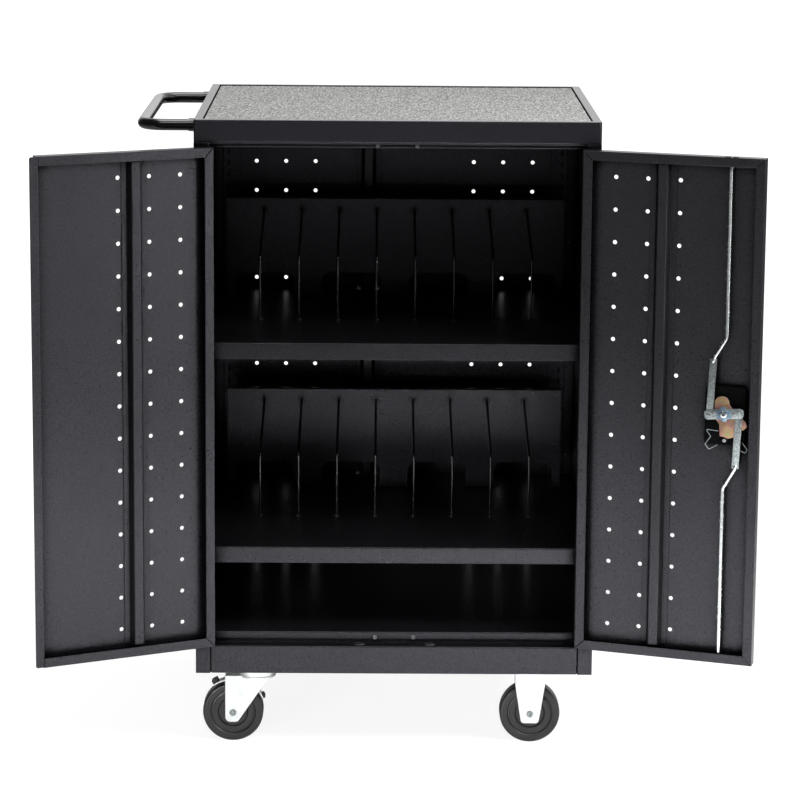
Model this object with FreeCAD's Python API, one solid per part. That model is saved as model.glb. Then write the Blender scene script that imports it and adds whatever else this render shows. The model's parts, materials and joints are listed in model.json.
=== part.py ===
import FreeCAD, Part
import math
import os

os.makedirs("parts", exist_ok=True)

# Overall sizes of the cart in millimetres
cart_width = 660.0
cart_depth = 558.0
cart_height = 1060.0
sheet = 1.2
bend_radius = 1.0

# Cabinet body
body_bottom = 133.5
tray_height = 36.4
post_width = 24.5
jamb_depth = 22.0
jamb_lip = 5.5
rear_flange_width = 24.5
back_panel_inset = 2.5
header_height = 11.0
header_return = 12.0

# Floor panel, skirts and caster channels
floor_top = 199.5
floor_fold_height = 12.5
skirt_top = 180.8
skirt_seam = 1.7
skirt_lip_top = 195.0
skirt_flange = 12.0
skirt_tab_setback = 6.0
rear_skirt_flange = 26.0
channel_width = 95.0
channel_sheet = 2.0
channel_front_clearance = 2.0

# Slots for the lock rods in roof, header and skirt
rod_slot_width = 16.0
rod_slot_depth = 11.0
rod_slot_inset = 14.0

# Tray on top
tray_rim_width = 14.0
tray_recess = 4.8
tray_corner = 5.0
tray_edge_round = 1.5
tray_bottom_flange = 7.0
mat_gap = 2.5
mat_thickness = 3.2
mat_corner = 4.0

# Shelves and uprights
upper_shelf_share = 0.5947
lower_shelf_share = 0.1763
shelf_lip_height = 27.0
shelf_flange = 20.0
shelf_flange_end_gap = 38.0
upright_thickness = 2.0
upright_width = 28.0
upright_inner_x = 282.0
upright_front_gap = 8.0
upright_slot_width = 4.0
upright_slot_height = 9.0
upright_slot_pitch = 21.0
upright_slot_x = 301.0
upright_end_gap = 4.0
clip_width = 14.0
clip_reach = 11.0
clip_height = 12.0
clip_sheet = 1.5

# Partitions with cable cut-outs
partition_y = 167.0
partition_width = 599.6
partition_height = 181.0
partition_foot = 16.0
partition_top_fold = 11.0
cutout_width = 105.0
cutout_height = 46.0
cutout_round = 16.0
cutout_pitch = 155.0
cutout_count = 4

# Wire dividers
divider_count = 8
divider_pitch = 66.3
divider_foot_y = -48.0
divider_rise = 112.0
divider_hole_height = 160.5
divider_radius = 2.25
divider_bend = 9.0
divider_straight_end = 14.0
divider_tail = 5.0
bushing_flange_radius = 5.3
bushing_flange_thickness = 1.6
bushing_barrel_radius = 4.0
bushing_tail = 2.0
foot_radius = 4.5
foot_height = 3.0

# Push handle
handle_tube_radius = 9.5
handle_wall = 1.5
handle_drop = 17.0
handle_half_span = 207.0
handle_reach = 88.5
handle_bend = 36.0
collar_radius = 10.8
collar_length = 12.0

# Doors
door_bottom = 186.0
door_head_gap = 7.0
door_gap = 5.0
door_side_gap = 6.0
door_depth = 20.0
door_lip_width = 15.0
door_edge_round = 0.9
mitre_gap = 0.7
overlap_lip_width = 12.8
overlap_lip_sheet = 1.0
overlap_step = 0.3
overlap_end_gap = 0.3
overlap_lip_round = 3.4
overlap_seam = 1.2
left_open_angle = 155.2
right_open_angle = 161.2
vent_radius = 3.5
vent_pitch = 53.2
first_vent_from_hinge = 50.2
door_vent_columns = 3
door_vent_drop = 42.7
back_vent_drop = 102.1
back_vent_shift = 1.5
vent_end_gap = 20.0

# Hat channels
hat_flange_width = 9.0
hat_slope_width = 5.0
hat_face_width = 14.5
hat_height = 11.4
notch_gap = 0.8
hat_inset = 18.0
hat_from_first_vent = 58.5
back_hat_x = -69.5

# Continuous hinges
hinge_axis_forward = 1.0
hinge_barrel_radius = 3.0
hinge_pin_radius = 1.5
hinge_leaf = 1.0
hinge_leaf_depth = 18.0
hinge_knuckle_count = 21
knuckle_gap = 0.4
knuckle_clearance = 0.4
running_fit = 0.05

# Three point lock, distances from the first vent column and from the door skin
lock_edge_distance = 56.0
housing_width = 66.0
housing_drop = 52.0
housing_rise = 43.5
housing_depth = 11.5
housing_corner = 4.0
screw_drop = 45.5
shaft_radius = 5.0
part_gap = 0.4
cam_gap = 2.4
cam_thickness = 2.0
rod_strap_thickness = 3.0
rod_strap_width = 11.6
crossbar_thickness = 2.0
crossbar_half_length = 32.2
crossbar_width = 16.0
crossbar_pivot = 24.05
pivot_radius = 2.5
pivot_head_radius = 3.4
pivot_head_height = 0.8
rod_radius = 3.5
rod_depth = 14.0
rod_bend = 14.0
jog_start_offset = 19.9
jog_start_rise = 88.9
jog_end_offset = 0.4
jog_end_rise = 124.0
upper_tip_overhang = 1.6
lower_tip_inset = 14.0
rod_tip_length = 16.0
rod_tip_radius = 2.4
door_slot_width = 22.0
door_slot_clearance = 1.0
square_washer = 24.0
square_washer_tongue = 9.0
square_washer_height = 1.2
bolt_head_radius = 5.4
bolt_head_height = 3.0
spring_radius = 0.8
escutcheon_width = 42.0
escutcheon_height = 120.0
escutcheon_thickness = 4.0
handle_neck_radius = 11.0
handle_neck_length = 14.0
grip_length = 96.0
grip_width = 18.0
grip_thickness = 12.0

# Bumpers and screws
bumper_radius = 3.6
bumper_thickness = 1.7
bumper_x = 32.0
screw_head_radius = 4.0
screw_head_height = 2.0
screw_shank_radius = 2.0
screw_shank_length = 4.0
back_screw_count = 5
back_screw_end_gap = 52.0
back_screw_inset = 10.0
housing_screw_radius = 3.0

# Casters
wheel_radius = 50.8
wheel_width = 32.0
wheel_edge_round = 4.0
wheel_groove_share = 0.73
wheel_recess_share = 0.49
wheel_groove_width = 2.0
wheel_groove_depth = 1.2
wheel_recess_depth = 2.0
wheel_hub_radius = 11.0
wheel_hub_width = 34.0
axle_radius = 4.8
axle_head_radius = 7.5
axle_head_height = 2.5
caster_y = 215.0
swivel_x = -231.0
swivel_trail = 39.5
rigid_x = 230.0
fork_sheet = 3.0
fork_inner_half = 17.5
fork_crown_top = 115.0
fork_crown_radius = 32.0
plate_half_length = 45.0
plate_half_width = 40.0
plate_thickness = 3.5
plate_corner = 8.0
race_radius = 32.0
lower_race_radius = 30.0
race_gap = 0.4
race_height = 6.0
kingpin_radius = 6.0
kingpin_head_radius = 10.0
kingpin_head_height = 2.0
caster_bolt_radius = 4.0
caster_bolt_head_radius = 6.5
caster_bolt_head_height = 3.5
bolt_inset = 9.0
leg_front = 12.7
leg_bottom = 16.0
leg_corner_x = 8.0
leg_top_x = 62.0
leg_top_z = 64.0
leg_round = 8.5
rigid_leg_top = 24.85
rigid_leg_bottom = 14.5
rigid_leg_shoulder = 50.0
rigid_leg_round = 6.0
brake_inner_radius = 54.0
brake_sheet = 1.6
brake_half_width = 14.0
brake_start_angle = 24.0
brake_end_angle = 128.0
brake_pad_angle = 7.0
brake_pad_height = 4.5
brake_pivot_x = 30.0
brake_pivot_z = 55.0
brake_pivot_radius = 2.5
brake_lug_half = 3.2
brake_pin_overhang = 1.2

# Derived positions
half_width = cart_width / 2
body_top = cart_height - tray_height
handle_height = cart_height - handle_drop
door_top = body_top - door_head_gap
lock_height = (door_bottom + door_top) / 2
upper_shelf_top = floor_top + (body_top - floor_top) * upper_shelf_share
lower_shelf_top = floor_top + (body_top - floor_top) * lower_shelf_share
front_y = -cart_depth / 2
back_y = cart_depth / 2
middle = sheet / 2
jamb_y = front_y + jamb_depth
hat_width = 2 * (hat_flange_width + hat_slope_width) + hat_face_width
jamb_back = jamb_y + sheet
post_inner = half_width - post_width
jamb_edge = post_inner - jamb_lip
wall_inner = half_width - sheet
back_panel_front = back_y - sheet - sheet
shelf_half_width = wall_inner - upright_thickness
shelf_back = back_panel_front - upright_thickness
skirt_half_width = post_inner - skirt_seam
pan_edge = post_inner - door_side_gap
free_edge = door_gap / 2
hinge_axis_from_centre = pan_edge + door_side_gap / 2
first_vent_x = pan_edge - first_vent_from_hinge
lock_x = free_edge + lock_edge_distance
lock_from_first_vent = first_vent_x - lock_x
rod_slot_x = lock_x
hinge_y = front_y - hinge_axis_forward
rod_slot_y = front_y + rod_slot_inset
cam_bottom = housing_depth + cam_gap
strap_bottom = cam_bottom + cam_thickness + part_gap
crossbar_bottom = strap_bottom + rod_strap_thickness + part_gap
plate_bottom = body_bottom - plate_thickness
axle_height = wheel_radius
up = FreeCAD.Vector(0, 0, 1)
across = FreeCAD.Vector(1, 0, 0)
inward = FreeCAD.Vector(0, 1, 0)
origin = FreeCAD.Vector(0, 0, 0)


def point(x, y, z):
    return FreeCAD.Vector(x, y, z)


def block(x_low, x_high, y_low, y_high, z_low, z_high):
    corner = point(min(x_low, x_high), min(y_low, y_high), min(z_low, z_high))
    return Part.makeBox(abs(x_high - x_low), abs(y_high - y_low), abs(z_high - z_low), corner)


def bar(radius, start, end):
    direction = end - start
    return Part.makeCylinder(radius, direction.Length, start, direction)


def prism(corners, sweep):
    outline = Part.makePolygon(list(corners) + [corners[0]])
    return Part.Face(outline).extrude(sweep)


def joined(shapes):
    shape = shapes[0].fuse(list(shapes[1:]))
    return shape.removeSplitter()


def mirrored(shape):
    return shape.mirror(origin, across)


def both_sides(shape):
    return [shape, mirrored(shape)]


def save(name, shapes):
    shape = shapes if isinstance(shapes, Part.Shape) else Part.makeCompound(list(shapes))
    shape.exportStep("parts/" + name + ".step")


# Line segments and bend arcs of one face of a folded sheet
def folded_side(points, normal, offset, centre_radius):
    edges = []
    start = None
    for index in range(len(points) - 1):
        direction = (points[index + 1] - points[index]).normalize()
        left = normal.cross(direction)
        if start is None:
            start = points[index] + left * offset
            first = start
        if index == len(points) - 2:
            end = points[index + 1] + left * offset
            edges.append(Part.makeLine(start, end))
            break
        following = (points[index + 2] - points[index + 1]).normalize()
        turn = math.atan2(direction.cross(following).dot(normal), direction.dot(following))
        side = 1 if turn > 0 else -1
        tangent = centre_radius * math.tan(abs(turn) / 2)
        corner = points[index + 1]
        centre = corner - direction * tangent + left * (centre_radius * side)
        radius = centre_radius - offset * side
        bend_start = centre - left * (radius * side)
        bend_end = centre - normal.cross(following) * (radius * side)
        bend_middle = centre + (corner - centre).normalize() * radius
        edges.append(Part.makeLine(start, bend_start))
        edges.append(Part.Arc(bend_start, bend_middle, bend_end).toShape())
        start = bend_end
    return edges, first, end


def folded(points, sweep, thickness=sheet, radius=bend_radius):
    normal = FreeCAD.Vector(sweep).normalize()
    half = thickness / 2
    one, one_first, one_end = folded_side(points, normal, half, radius + half)
    two, two_first, two_end = folded_side(points, normal, -half, radius + half)
    edges = one + two + [Part.makeLine(one_first, two_first), Part.makeLine(one_end, two_end)]
    outline = Part.Wire(Part.__sortEdges__(edges))
    return Part.Face(outline).extrude(sweep)


def rod_along(points, bend, radius):
    edges = []
    start = points[0]
    for index in range(1, len(points) - 1):
        before = (points[index] - points[index - 1]).normalize()
        after = (points[index + 1] - points[index]).normalize()
        angle = before.getAngle(after)
        tangent = bend * math.tan(angle / 2)
        bend_start = points[index] - before * tangent
        bend_end = points[index] + after * tangent
        toward_centre = (after - before).normalize()
        centre = points[index] + toward_centre * (bend / math.cos(angle / 2))
        bend_middle = centre - toward_centre * bend
        edges.append(Part.makeLine(start, bend_start))
        edges.append(Part.Arc(bend_start, bend_middle, bend_end).toShape())
        start = bend_end
    edges.append(Part.makeLine(start, points[-1]))
    path = Part.Wire(edges)
    circle = Part.makeCircle(radius, points[0], (points[1] - points[0]).normalize())
    return path.makePipeShell([Part.Wire(circle)], True, False)


def vent_grid(columns, top_z, bottom_z, y_low, y_high):
    holes = []
    for x in columns:
        z = top_z
        while z > bottom_z + vent_end_gap:
            holes.append(bar(vent_radius, point(x, y_low, z), point(x, y_high, z)))
            z = z - vent_pitch
    return Part.makeCompound(holes)


def vent_columns():
    return [first_vent_x - column * vent_pitch for column in range(door_vent_columns)]


def rod_slots(z_low, z_high):
    slots = []
    for side in (-1, 1):
        x = side * rod_slot_x
        half = (rod_slot_width - rod_slot_depth) / 2
        low = point(x - half, rod_slot_y, z_low)
        high = point(x + half, rod_slot_y, z_low)
        middle_block = block(low.x, high.x, rod_slot_y - rod_slot_depth / 2,
                             rod_slot_y + rod_slot_depth / 2, z_low, z_high)
        ends = [bar(rod_slot_depth / 2, end, point(end.x, end.y, z_high)) for end in (low, high)]
        slots.append(joined([middle_block] + ends))
    return slots


# Side panel with front post, jamb lip and rear flange folded from one sheet
def side_panel():
    z = body_bottom
    rear_edge = half_width - rear_flange_width
    points = [
        point(jamb_edge, jamb_y + middle, z),
        point(post_inner + middle, jamb_y + middle, z),
        point(post_inner + middle, front_y + middle, z),
        point(half_width - middle, front_y + middle, z),
        point(half_width - middle, back_y - middle, z),
        point(rear_edge, back_y - middle, z),
    ]
    return folded(points, up * (body_top - body_bottom))


def hat(x, direction, y, depth_direction, z_low, z_high):
    steps = [0, hat_flange_width, hat_slope_width, hat_face_width, hat_slope_width, hat_flange_width]
    heights = [0, 0, hat_height, hat_height, 0, 0]
    points = []
    for step, height in zip(steps, heights):
        x = x + direction * step
        points.append(point(x, y + depth_direction * (middle + height), z_low))
    return folded(points, up * (z_high - z_low))


def back_panel():
    edge = wall_inner - bend_radius - sheet / 4
    panel = block(-edge, edge, back_panel_front, back_panel_front + sheet, body_bottom + back_panel_inset,
                  body_top)
    columns = []
    for x in vent_columns():
        columns.append(x - back_vent_shift)
        columns.append(-x - back_vent_shift)
    return panel.cut(vent_grid(columns, body_top - back_vent_drop, floor_top, back_panel_front,
                               back_panel_front + sheet))


def back_stiffener():
    return hat(back_hat_x, 1, back_panel_front, -1, floor_top + hat_inset, body_top - hat_inset)


# Plate that fills the inside of the body and reaches the jambs
def level_plate(top, reach_front):
    main = block(-wall_inner, wall_inner, jamb_back, back_panel_front, top - sheet, top)
    tongue = block(-jamb_edge, jamb_edge, reach_front, jamb_back, top - sheet, top)
    return joined([main, tongue])


def roof_panel():
    ledge = block(-post_inner, post_inner, front_y + sheet, jamb_y, body_top - sheet, body_top)
    plate = joined([level_plate(body_top, jamb_y), ledge])
    return plate.cut(rod_slots(body_top - sheet, body_top))


def front_header():
    top = body_top - sheet
    points = [
        point(-post_inner, front_y + sheet, top - middle),
        point(-post_inner, jamb_y + middle, top - middle),
        point(-post_inner, jamb_y + middle, body_top - header_height + middle),
        point(-post_inner, jamb_y + middle + header_return, body_top - header_height + middle),
    ]
    header = folded(points, across * (2 * post_inner))
    ends = [block(side * jamb_edge, side * post_inner, jamb_y, back_y, body_bottom, body_top)
            for side in (-1, 1)]
    return header.cut(ends + rod_slots(top - sheet, top))


def top_tray():
    outer = block(-half_width, half_width, front_y, back_y, body_top, cart_height)
    corners = [edge for edge in outer.Edges if abs(edge.tangentAt(edge.FirstParameter).z) > sheet / 2]
    outer = outer.makeFillet(tray_corner, corners)
    level = [edge for edge in outer.Edges if edge.BoundBox.ZLength < sheet]
    outer = outer.makeFillet(tray_edge_round, level)
    floor_top_z = cart_height - tray_recess
    recess_x = half_width - tray_rim_width
    recess_y = back_y - tray_rim_width
    wall_x = half_width - sheet
    wall_y = back_y - sheet
    hollow = block(-wall_x, wall_x, -wall_y, wall_y, body_top + sheet, cart_height - sheet)
    pan = block(-recess_x - sheet, recess_x + sheet, -recess_y - sheet, recess_y + sheet,
                floor_top_z - sheet, cart_height - sheet)
    recess = block(-recess_x, recess_x, -recess_y, recess_y, floor_top_z, cart_height + sheet)
    opening_x = half_width - tray_bottom_flange
    opening_y = back_y - tray_bottom_flange
    opening = block(-opening_x, opening_x, -opening_y, opening_y, body_top - sheet, body_top + sheet)
    return outer.cut(hollow.cut(pan)).cut([recess, opening])


def tray_mat():
    x = half_width - tray_rim_width - mat_gap
    y = back_y - tray_rim_width - mat_gap
    low = cart_height - tray_recess
    mat = block(-x, x, -y, y, low, low + mat_thickness)
    corners = [edge for edge in mat.Edges if edge.BoundBox.ZLength > sheet]
    return mat.makeFillet(mat_corner, corners)


def floor_panel():
    fold_bottom = floor_top - floor_fold_height
    points = [
        point(-wall_inner, jamb_y + middle, fold_bottom),
        point(-wall_inner, jamb_y + middle, floor_top - middle),
        point(-wall_inner, back_panel_front, floor_top - middle),
    ]
    panel = folded(points, across * (2 * wall_inner))
    ends = [block(side * jamb_edge, side * wall_inner, front_y, jamb_back, body_bottom, floor_top)
            for side in (-1, 1)]
    return panel.cut(ends)


def front_skirt():
    x = -skirt_half_width
    points = [
        point(x, jamb_back + middle, skirt_lip_top),
        point(x, jamb_back + middle, skirt_top - middle),
        point(x, front_y + middle, skirt_top - middle),
        point(x, front_y + middle, body_bottom + middle),
        point(x, front_y + skirt_flange, body_bottom + middle),
    ]
    skirt = folded(points, across * (2 * skirt_half_width))
    ends = [block(side * jamb_edge, side * skirt_half_width, jamb_y, jamb_back, body_bottom, floor_top)
            for side in (-1, 1)]
    # A tab at each lower end closes the seam beside the post
    tabs = [block(side * (skirt_half_width - sheet), side * post_inner, front_y + skirt_tab_setback,
                  front_y + skirt_flange, body_bottom, body_bottom + skirt_flange) for side in (-1, 1)]
    return joined([skirt.cut(ends + rod_slots(skirt_top - sheet, skirt_top))] + tabs)


def rear_skirt():
    x = -skirt_half_width
    rear = back_panel_front - middle
    floor_bottom = floor_top - sheet
    points = [
        point(x, rear + middle - skirt_flange, body_bottom + middle),
        point(x, rear, body_bottom + middle),
        point(x, rear, floor_bottom - middle),
        point(x, rear - rear_skirt_flange, floor_bottom - middle),
    ]
    return folded(points, across * (2 * skirt_half_width))


def caster_channels():
    half = channel_width / 2
    half_sheet = channel_sheet / 2
    channels = []
    front_end = front_y + skirt_flange
    rear_end = back_panel_front - skirt_flange
    top = floor_top - sheet
    for x in (swivel_x, rigid_x):
        points = [
            point(x - half, front_end, top),
            point(x - half, front_end, body_bottom + half_sheet),
            point(x + half, front_end, body_bottom + half_sheet),
            point(x + half, front_end, top),
        ]
        channel = folded(points, inward * (rear_end - front_end), channel_sheet)
        behind_lip = jamb_back + sheet + channel_front_clearance
        behind_flange = back_panel_front - rear_skirt_flange - channel_front_clearance
        low = body_bottom + channel_sheet + bend_radius
        front_cut = block(x - channel_width, x + channel_width, front_y, behind_lip, low, floor_top)
        rear_cut = block(x - channel_width, x + channel_width, behind_flange, back_y, low, floor_top)
        channels.append(channel.cut([front_cut, rear_cut]))
    return channels


def shelf(top):
    points = [
        point(-shelf_half_width, jamb_y + middle, top - shelf_lip_height),
        point(-shelf_half_width, jamb_y + middle, top - middle),
        point(-shelf_half_width, shelf_back - middle, top - middle),
        point(-shelf_half_width, shelf_back - middle, top - shelf_flange),
    ]
    panel = folded(points, across * (2 * shelf_half_width))
    cuts = []
    sides = []
    below = top - shelf_lip_height
    for side in (-1, 1):
        cuts.append(block(side * jamb_edge, side * half_width, front_y, jamb_back, below, top))
        cuts.append(block(side * (upright_inner_x - clip_width / 2), side * half_width,
                          shelf_back - bend_radius - sheet, back_y, below, top - sheet))
        sides.append(block(side * (shelf_half_width - sheet), side * shelf_half_width,
                           jamb_back + shelf_flange_end_gap, shelf_back - shelf_flange_end_gap,
                           top - shelf_flange, top - middle))
    cuts.append(block(back_hat_x - notch_gap, back_hat_x + hat_width + notch_gap,
                      back_panel_front - hat_height - sheet - notch_gap, back_y, below, top))
    return joined([panel.cut(cuts)] + sides)


def upright_slots(low, high, make_slot):
    slots = []
    z = low + upright_slot_pitch
    while z < high - upright_slot_pitch:
        slots.append(make_slot(z))
        z = z + upright_slot_pitch
    return slots


def slotted_uprights():
    low = floor_top
    high = body_top - sheet - upright_end_gap
    shapes = []
    rear_middle = upright_slot_x
    rear = block(upright_inner_x, upright_inner_x + upright_width, shelf_back, back_panel_front, low, high)
    half_slot = upright_slot_width / 2
    rear_slots = upright_slots(low, high, lambda z: block(
        rear_middle - half_slot, rear_middle + half_slot, shelf_back, back_panel_front,
        z, z + upright_slot_height))
    shapes.extend(both_sides(rear.cut(rear_slots)))
    front_low = jamb_back + upright_front_gap
    front_middle = front_low + upright_width / 2
    front = block(shelf_half_width, wall_inner, front_low, front_low + upright_width, low, high)
    front_slots = upright_slots(low, high, lambda z: block(
        shelf_half_width, wall_inner, front_middle - half_slot, front_middle + half_slot,
        z, z + upright_slot_height))
    shapes.extend(both_sides(front.cut(front_slots)))
    return shapes


# Small angle under each shelf corner, hooked into an upright
def shelf_clips():
    clips = []
    half = clip_sheet / 2
    front_middle = jamb_back + upright_front_gap + upright_width / 2
    rear_middle = upright_slot_x
    for top in (upper_shelf_top, lower_shelf_top):
        under = top - sheet
        x = shelf_half_width - half
        start_y = front_middle - clip_width / 2
        side_points = [
            point(x - clip_reach, start_y, under - half),
            point(x, start_y, under - half),
            point(x, start_y, under - clip_height),
        ]
        clips.extend(both_sides(folded(side_points, inward * clip_width, clip_sheet)))
        y = shelf_back - half
        start_x = rear_middle - clip_width / 2
        rear_points = [
            point(start_x, y - clip_reach, under - half),
            point(start_x, y, under - half),
            point(start_x, y, under - clip_height),
        ]
        clips.extend(both_sides(folded(rear_points, across * clip_width, clip_sheet)))
    return clips


def divider_positions():
    first = -divider_pitch * (divider_count - 1) / 2
    return [first + index * divider_pitch for index in range(divider_count)]


def cutout(x, base):
    low = base - sheet
    top = base + cutout_height
    behind = partition_y + partition_foot + sheet
    hole = block(x - cutout_width / 2, x + cutout_width / 2, partition_y - sheet, behind, low, top)
    tops = [edge for edge in hole.Edges
            if edge.BoundBox.YLength > sheet * 2 and abs(edge.BoundBox.Center.z - top) < sheet / 2]
    return hole.makeFillet(cutout_round, tops)


def partition(base):
    x = -partition_width / 2
    y = partition_y + middle
    points = [
        point(x, partition_y + partition_foot, base + middle),
        point(x, y, base + middle),
        point(x, y, base + partition_height - middle),
        point(x, partition_y + partition_top_fold, base + partition_height - middle),
    ]
    panel = folded(points, across * partition_width)
    holes = []
    for hole_x in divider_positions():
        centre = point(hole_x, partition_y, base + divider_hole_height)
        holes.append(bar(bushing_barrel_radius, centre, centre + inward * sheet))
    first = -cutout_pitch * (cutout_count - 1) / 2
    for index in range(cutout_count):
        holes.append(cutout(first + index * cutout_pitch, base))
    return panel.cut(holes)


def divider_bushings():
    bushings = []
    for base in (upper_shelf_top, lower_shelf_top):
        for x in divider_positions():
            face = point(x, partition_y, base + divider_hole_height)
            flange = bar(bushing_flange_radius, face - inward * bushing_flange_thickness, face)
            barrel = bar(bushing_barrel_radius, face, face + inward * (sheet + bushing_tail))
            start = face - inward * bushing_flange_thickness
            hole = bar(divider_radius, start, face + inward * (sheet + bushing_tail))
            bushings.append(joined([flange, barrel]).cut(hole))
    return bushings


def dividers(base):
    wires = []
    for x in divider_positions():
        height = base + divider_hole_height
        points = [
            point(x, divider_foot_y, base),
            point(x, divider_foot_y, base + divider_rise),
            point(x, partition_y - divider_straight_end, height),
            point(x, partition_y + divider_tail, height),
        ]
        wires.append(rod_along(points, divider_bend, divider_radius))
    return wires


def divider_feet():
    feet = []
    for base in (upper_shelf_top, lower_shelf_top):
        for x in divider_positions():
            foot = point(x, divider_foot_y, base)
            ring = bar(foot_radius, foot, foot + up * foot_height)
            feet.append(ring.cut(bar(divider_radius, foot, foot + up * foot_height)))
    return feet


def push_handle():
    x = -half_width
    far = x - handle_reach
    points = [
        point(x, -handle_half_span, handle_height),
        point(far, -handle_half_span, handle_height),
        point(far, handle_half_span, handle_height),
        point(x, handle_half_span, handle_height),
    ]
    outside = rod_along(points, handle_bend, handle_tube_radius)
    inside = rod_along(points, handle_bend, handle_tube_radius - handle_wall)
    return outside.cut(inside)


def handle_collars():
    collars = []
    for side in (-1, 1):
        start = point(-half_width - collar_length, side * handle_half_span, handle_height)
        end = point(-half_width, side * handle_half_span, handle_height)
        collars.append(bar(collar_radius, start, end).cut(bar(handle_tube_radius, start, end)))
    return collars


def door_bumpers():
    bumpers = []
    header_z = body_top - header_height + bumper_radius
    rail_z = floor_top - floor_fold_height + bumper_radius
    for z in (header_z, rail_z):
        for side in (-1, 1):
            face = point(side * bumper_x, jamb_y, z)
            bumpers.append(bar(bumper_radius, face - inward * bumper_thickness, face))
    return bumpers


def screw(face, outwards):
    head = bar(screw_head_radius, face, face + outwards * screw_head_height)
    shank = bar(screw_shank_radius, face - outwards * screw_shank_length, face)
    return joined([head, shank])


def back_screw_places():
    places = []
    low = body_bottom + back_screw_end_gap
    step = (body_top - body_bottom - 2 * back_screw_end_gap) / (back_screw_count - 1)
    for index in range(back_screw_count):
        for side in (-1, 1):
            x = side * (half_width - rear_flange_width + back_screw_inset)
            places.append(point(x, back_y, low + index * step))
    return places


def cabinet_screws():
    return [screw(place, inward) for place in back_screw_places()]


def screw_holes():
    return [bar(screw_shank_radius, place, place - inward * screw_shank_length)
            for place in back_screw_places()]


# Right door in its closed place; the left door is its mirror image
def door_x(distance):
    return first_vent_x - distance


def door_skin():
    skin = block(free_edge, pan_edge, front_y, front_y + sheet, door_bottom, door_top)
    rim = [edge for edge in skin.Edges
           if edge.BoundBox.YLength < middle and abs(edge.BoundBox.Center.y - front_y) < middle]
    skin = skin.makeFillet(door_edge_round, rim)
    return skin.cut(vent_grid(vent_columns(), door_top - door_vent_drop, door_bottom, front_y, front_y + sheet))


def lip_plate(outline, rim_depth):
    y = front_y + rim_depth
    corners = [point(x, y - sheet, z) for x, z in outline]
    return prism(corners, inward * sheet)


def door_edges(overlapping):
    free_x = free_edge
    under = front_y + sheet
    rim = front_y + door_depth
    inset = door_lip_width
    gap = mitre_gap
    seat = 0 if overlapping else 1
    edges = []
    hinge_lip = [(pan_edge, door_bottom + gap), (pan_edge, door_top - gap),
                 (pan_edge - inset, door_top - inset - gap), (pan_edge - inset, door_bottom + inset + gap)]
    hinge_flange = block(pan_edge - sheet, pan_edge, under, rim, door_bottom + sheet, door_top - sheet)
    edges.append(joined([hinge_flange, lip_plate(hinge_lip, door_depth)]))
    for end, step in ((door_top, -1), (door_bottom, 1)):
        flange = block(free_x, pan_edge, under, rim, end, end + step * sheet)
        near = free_x + seat * gap + (1 - seat) * (sheet + overlap_seam)
        lip = [(near, end), (pan_edge - gap, end), (pan_edge - inset - gap, end + step * inset),
               (near + seat * inset, end + step * inset)]
        slot = rod_flange_slot(end) if seat else None
        solid = joined([flange, lip_plate(lip, door_depth)])
        edges.append(solid.cut(slot) if seat else solid)
    if overlapping:
        edges.append(overlap_edge(free_x, under))
    else:
        free_lip = [(free_x, door_bottom + gap), (free_x, door_top - gap),
                    (free_x + inset, door_top - inset - gap), (free_x + inset, door_bottom + inset + gap)]
        free_flange = block(free_x, free_x + sheet, under, rim, door_bottom + sheet, door_top - sheet)
        edges.append(joined([free_flange, lip_plate(free_lip, door_depth)]))
    return edges


# Lip of the door that closes first, which the other door laps over
def overlap_edge(free_x, under):
    lip_front = front_y + door_depth + overlap_step
    lip_back = lip_front + overlap_lip_sheet
    low = door_bottom + sheet
    flange = block(free_x, free_x + sheet, under, lip_back, low, door_top - sheet)
    lip = block(free_x - overlap_lip_width, free_x + sheet, lip_front, lip_back, low, door_top - overlap_end_gap)
    ends = [edge for edge in lip.Edges if edge.BoundBox.YLength > middle
            and edge.BoundBox.ZLength < middle and edge.BoundBox.Center.x < free_x - sheet]
    lip = lip.makeFillet(overlap_lip_round, ends)
    return joined([flange, lip])


def rod_flange_slot(end):
    x = door_x(lock_from_first_vent)
    half = door_slot_width / 2
    y = front_y + rod_depth
    reach = rod_radius + door_slot_clearance
    return block(x - half, x + half, y - reach, y + reach, end - sheet, end + sheet)


def door_stiffener():
    return hat(door_x(hat_from_first_vent), -1, front_y + sheet, 1, door_bottom + hat_inset,
               door_top - hat_inset + sheet)


def swung(shape, side, angle):
    centre = point(side * hinge_axis_from_centre, hinge_y, 0)
    turned = shape.copy()
    turned.rotate(centre, up, side * angle)
    return turned


def swing_all(shapes, side):
    angle = right_open_angle if side > 0 else left_open_angle
    return [swung(shape, side, angle) for shape in shapes]


def knuckle_ranges(first):
    length = (door_top - door_bottom) / hinge_knuckle_count
    ranges = []
    for index in range(first, hinge_knuckle_count, 2):
        low = door_bottom + index * length
        ranges.append((low, low + length))
    return ranges


# Hinge leaf on the right side; knuckles alternate between door and post
def hinge_leaf_shape(outer, first, hole_radius):
    x = hinge_axis_from_centre + outer * hinge_barrel_radius
    inner_x = x - outer * hinge_leaf
    leaf = block(inner_x, x, hinge_y, hinge_y + hinge_leaf_depth, door_bottom, door_top)
    axis = point(hinge_axis_from_centre, hinge_y, 0)
    reach = hinge_barrel_radius + knuckle_clearance
    other = knuckle_ranges(1 - first)
    cuts = [block(hinge_axis_from_centre - reach, hinge_axis_from_centre + reach, hinge_y - reach,
                  hinge_y + reach, low - knuckle_gap / 2, high + knuckle_gap / 2) for low, high in other]
    leaf = leaf.cut(cuts)
    knuckles = []
    holes = []
    for low, high in knuckle_ranges(first):
        start = axis + up * (low + knuckle_gap / 2)
        end = axis + up * (high - knuckle_gap / 2)
        knuckles.append(bar(hinge_barrel_radius, start, end))
    holes.append(bar(hole_radius, axis + up * door_bottom, axis + up * door_top))
    return joined([leaf] + knuckles).cut(holes)


def hinge_post_leaf():
    return hinge_leaf_shape(1, 0, hinge_pin_radius)


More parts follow.
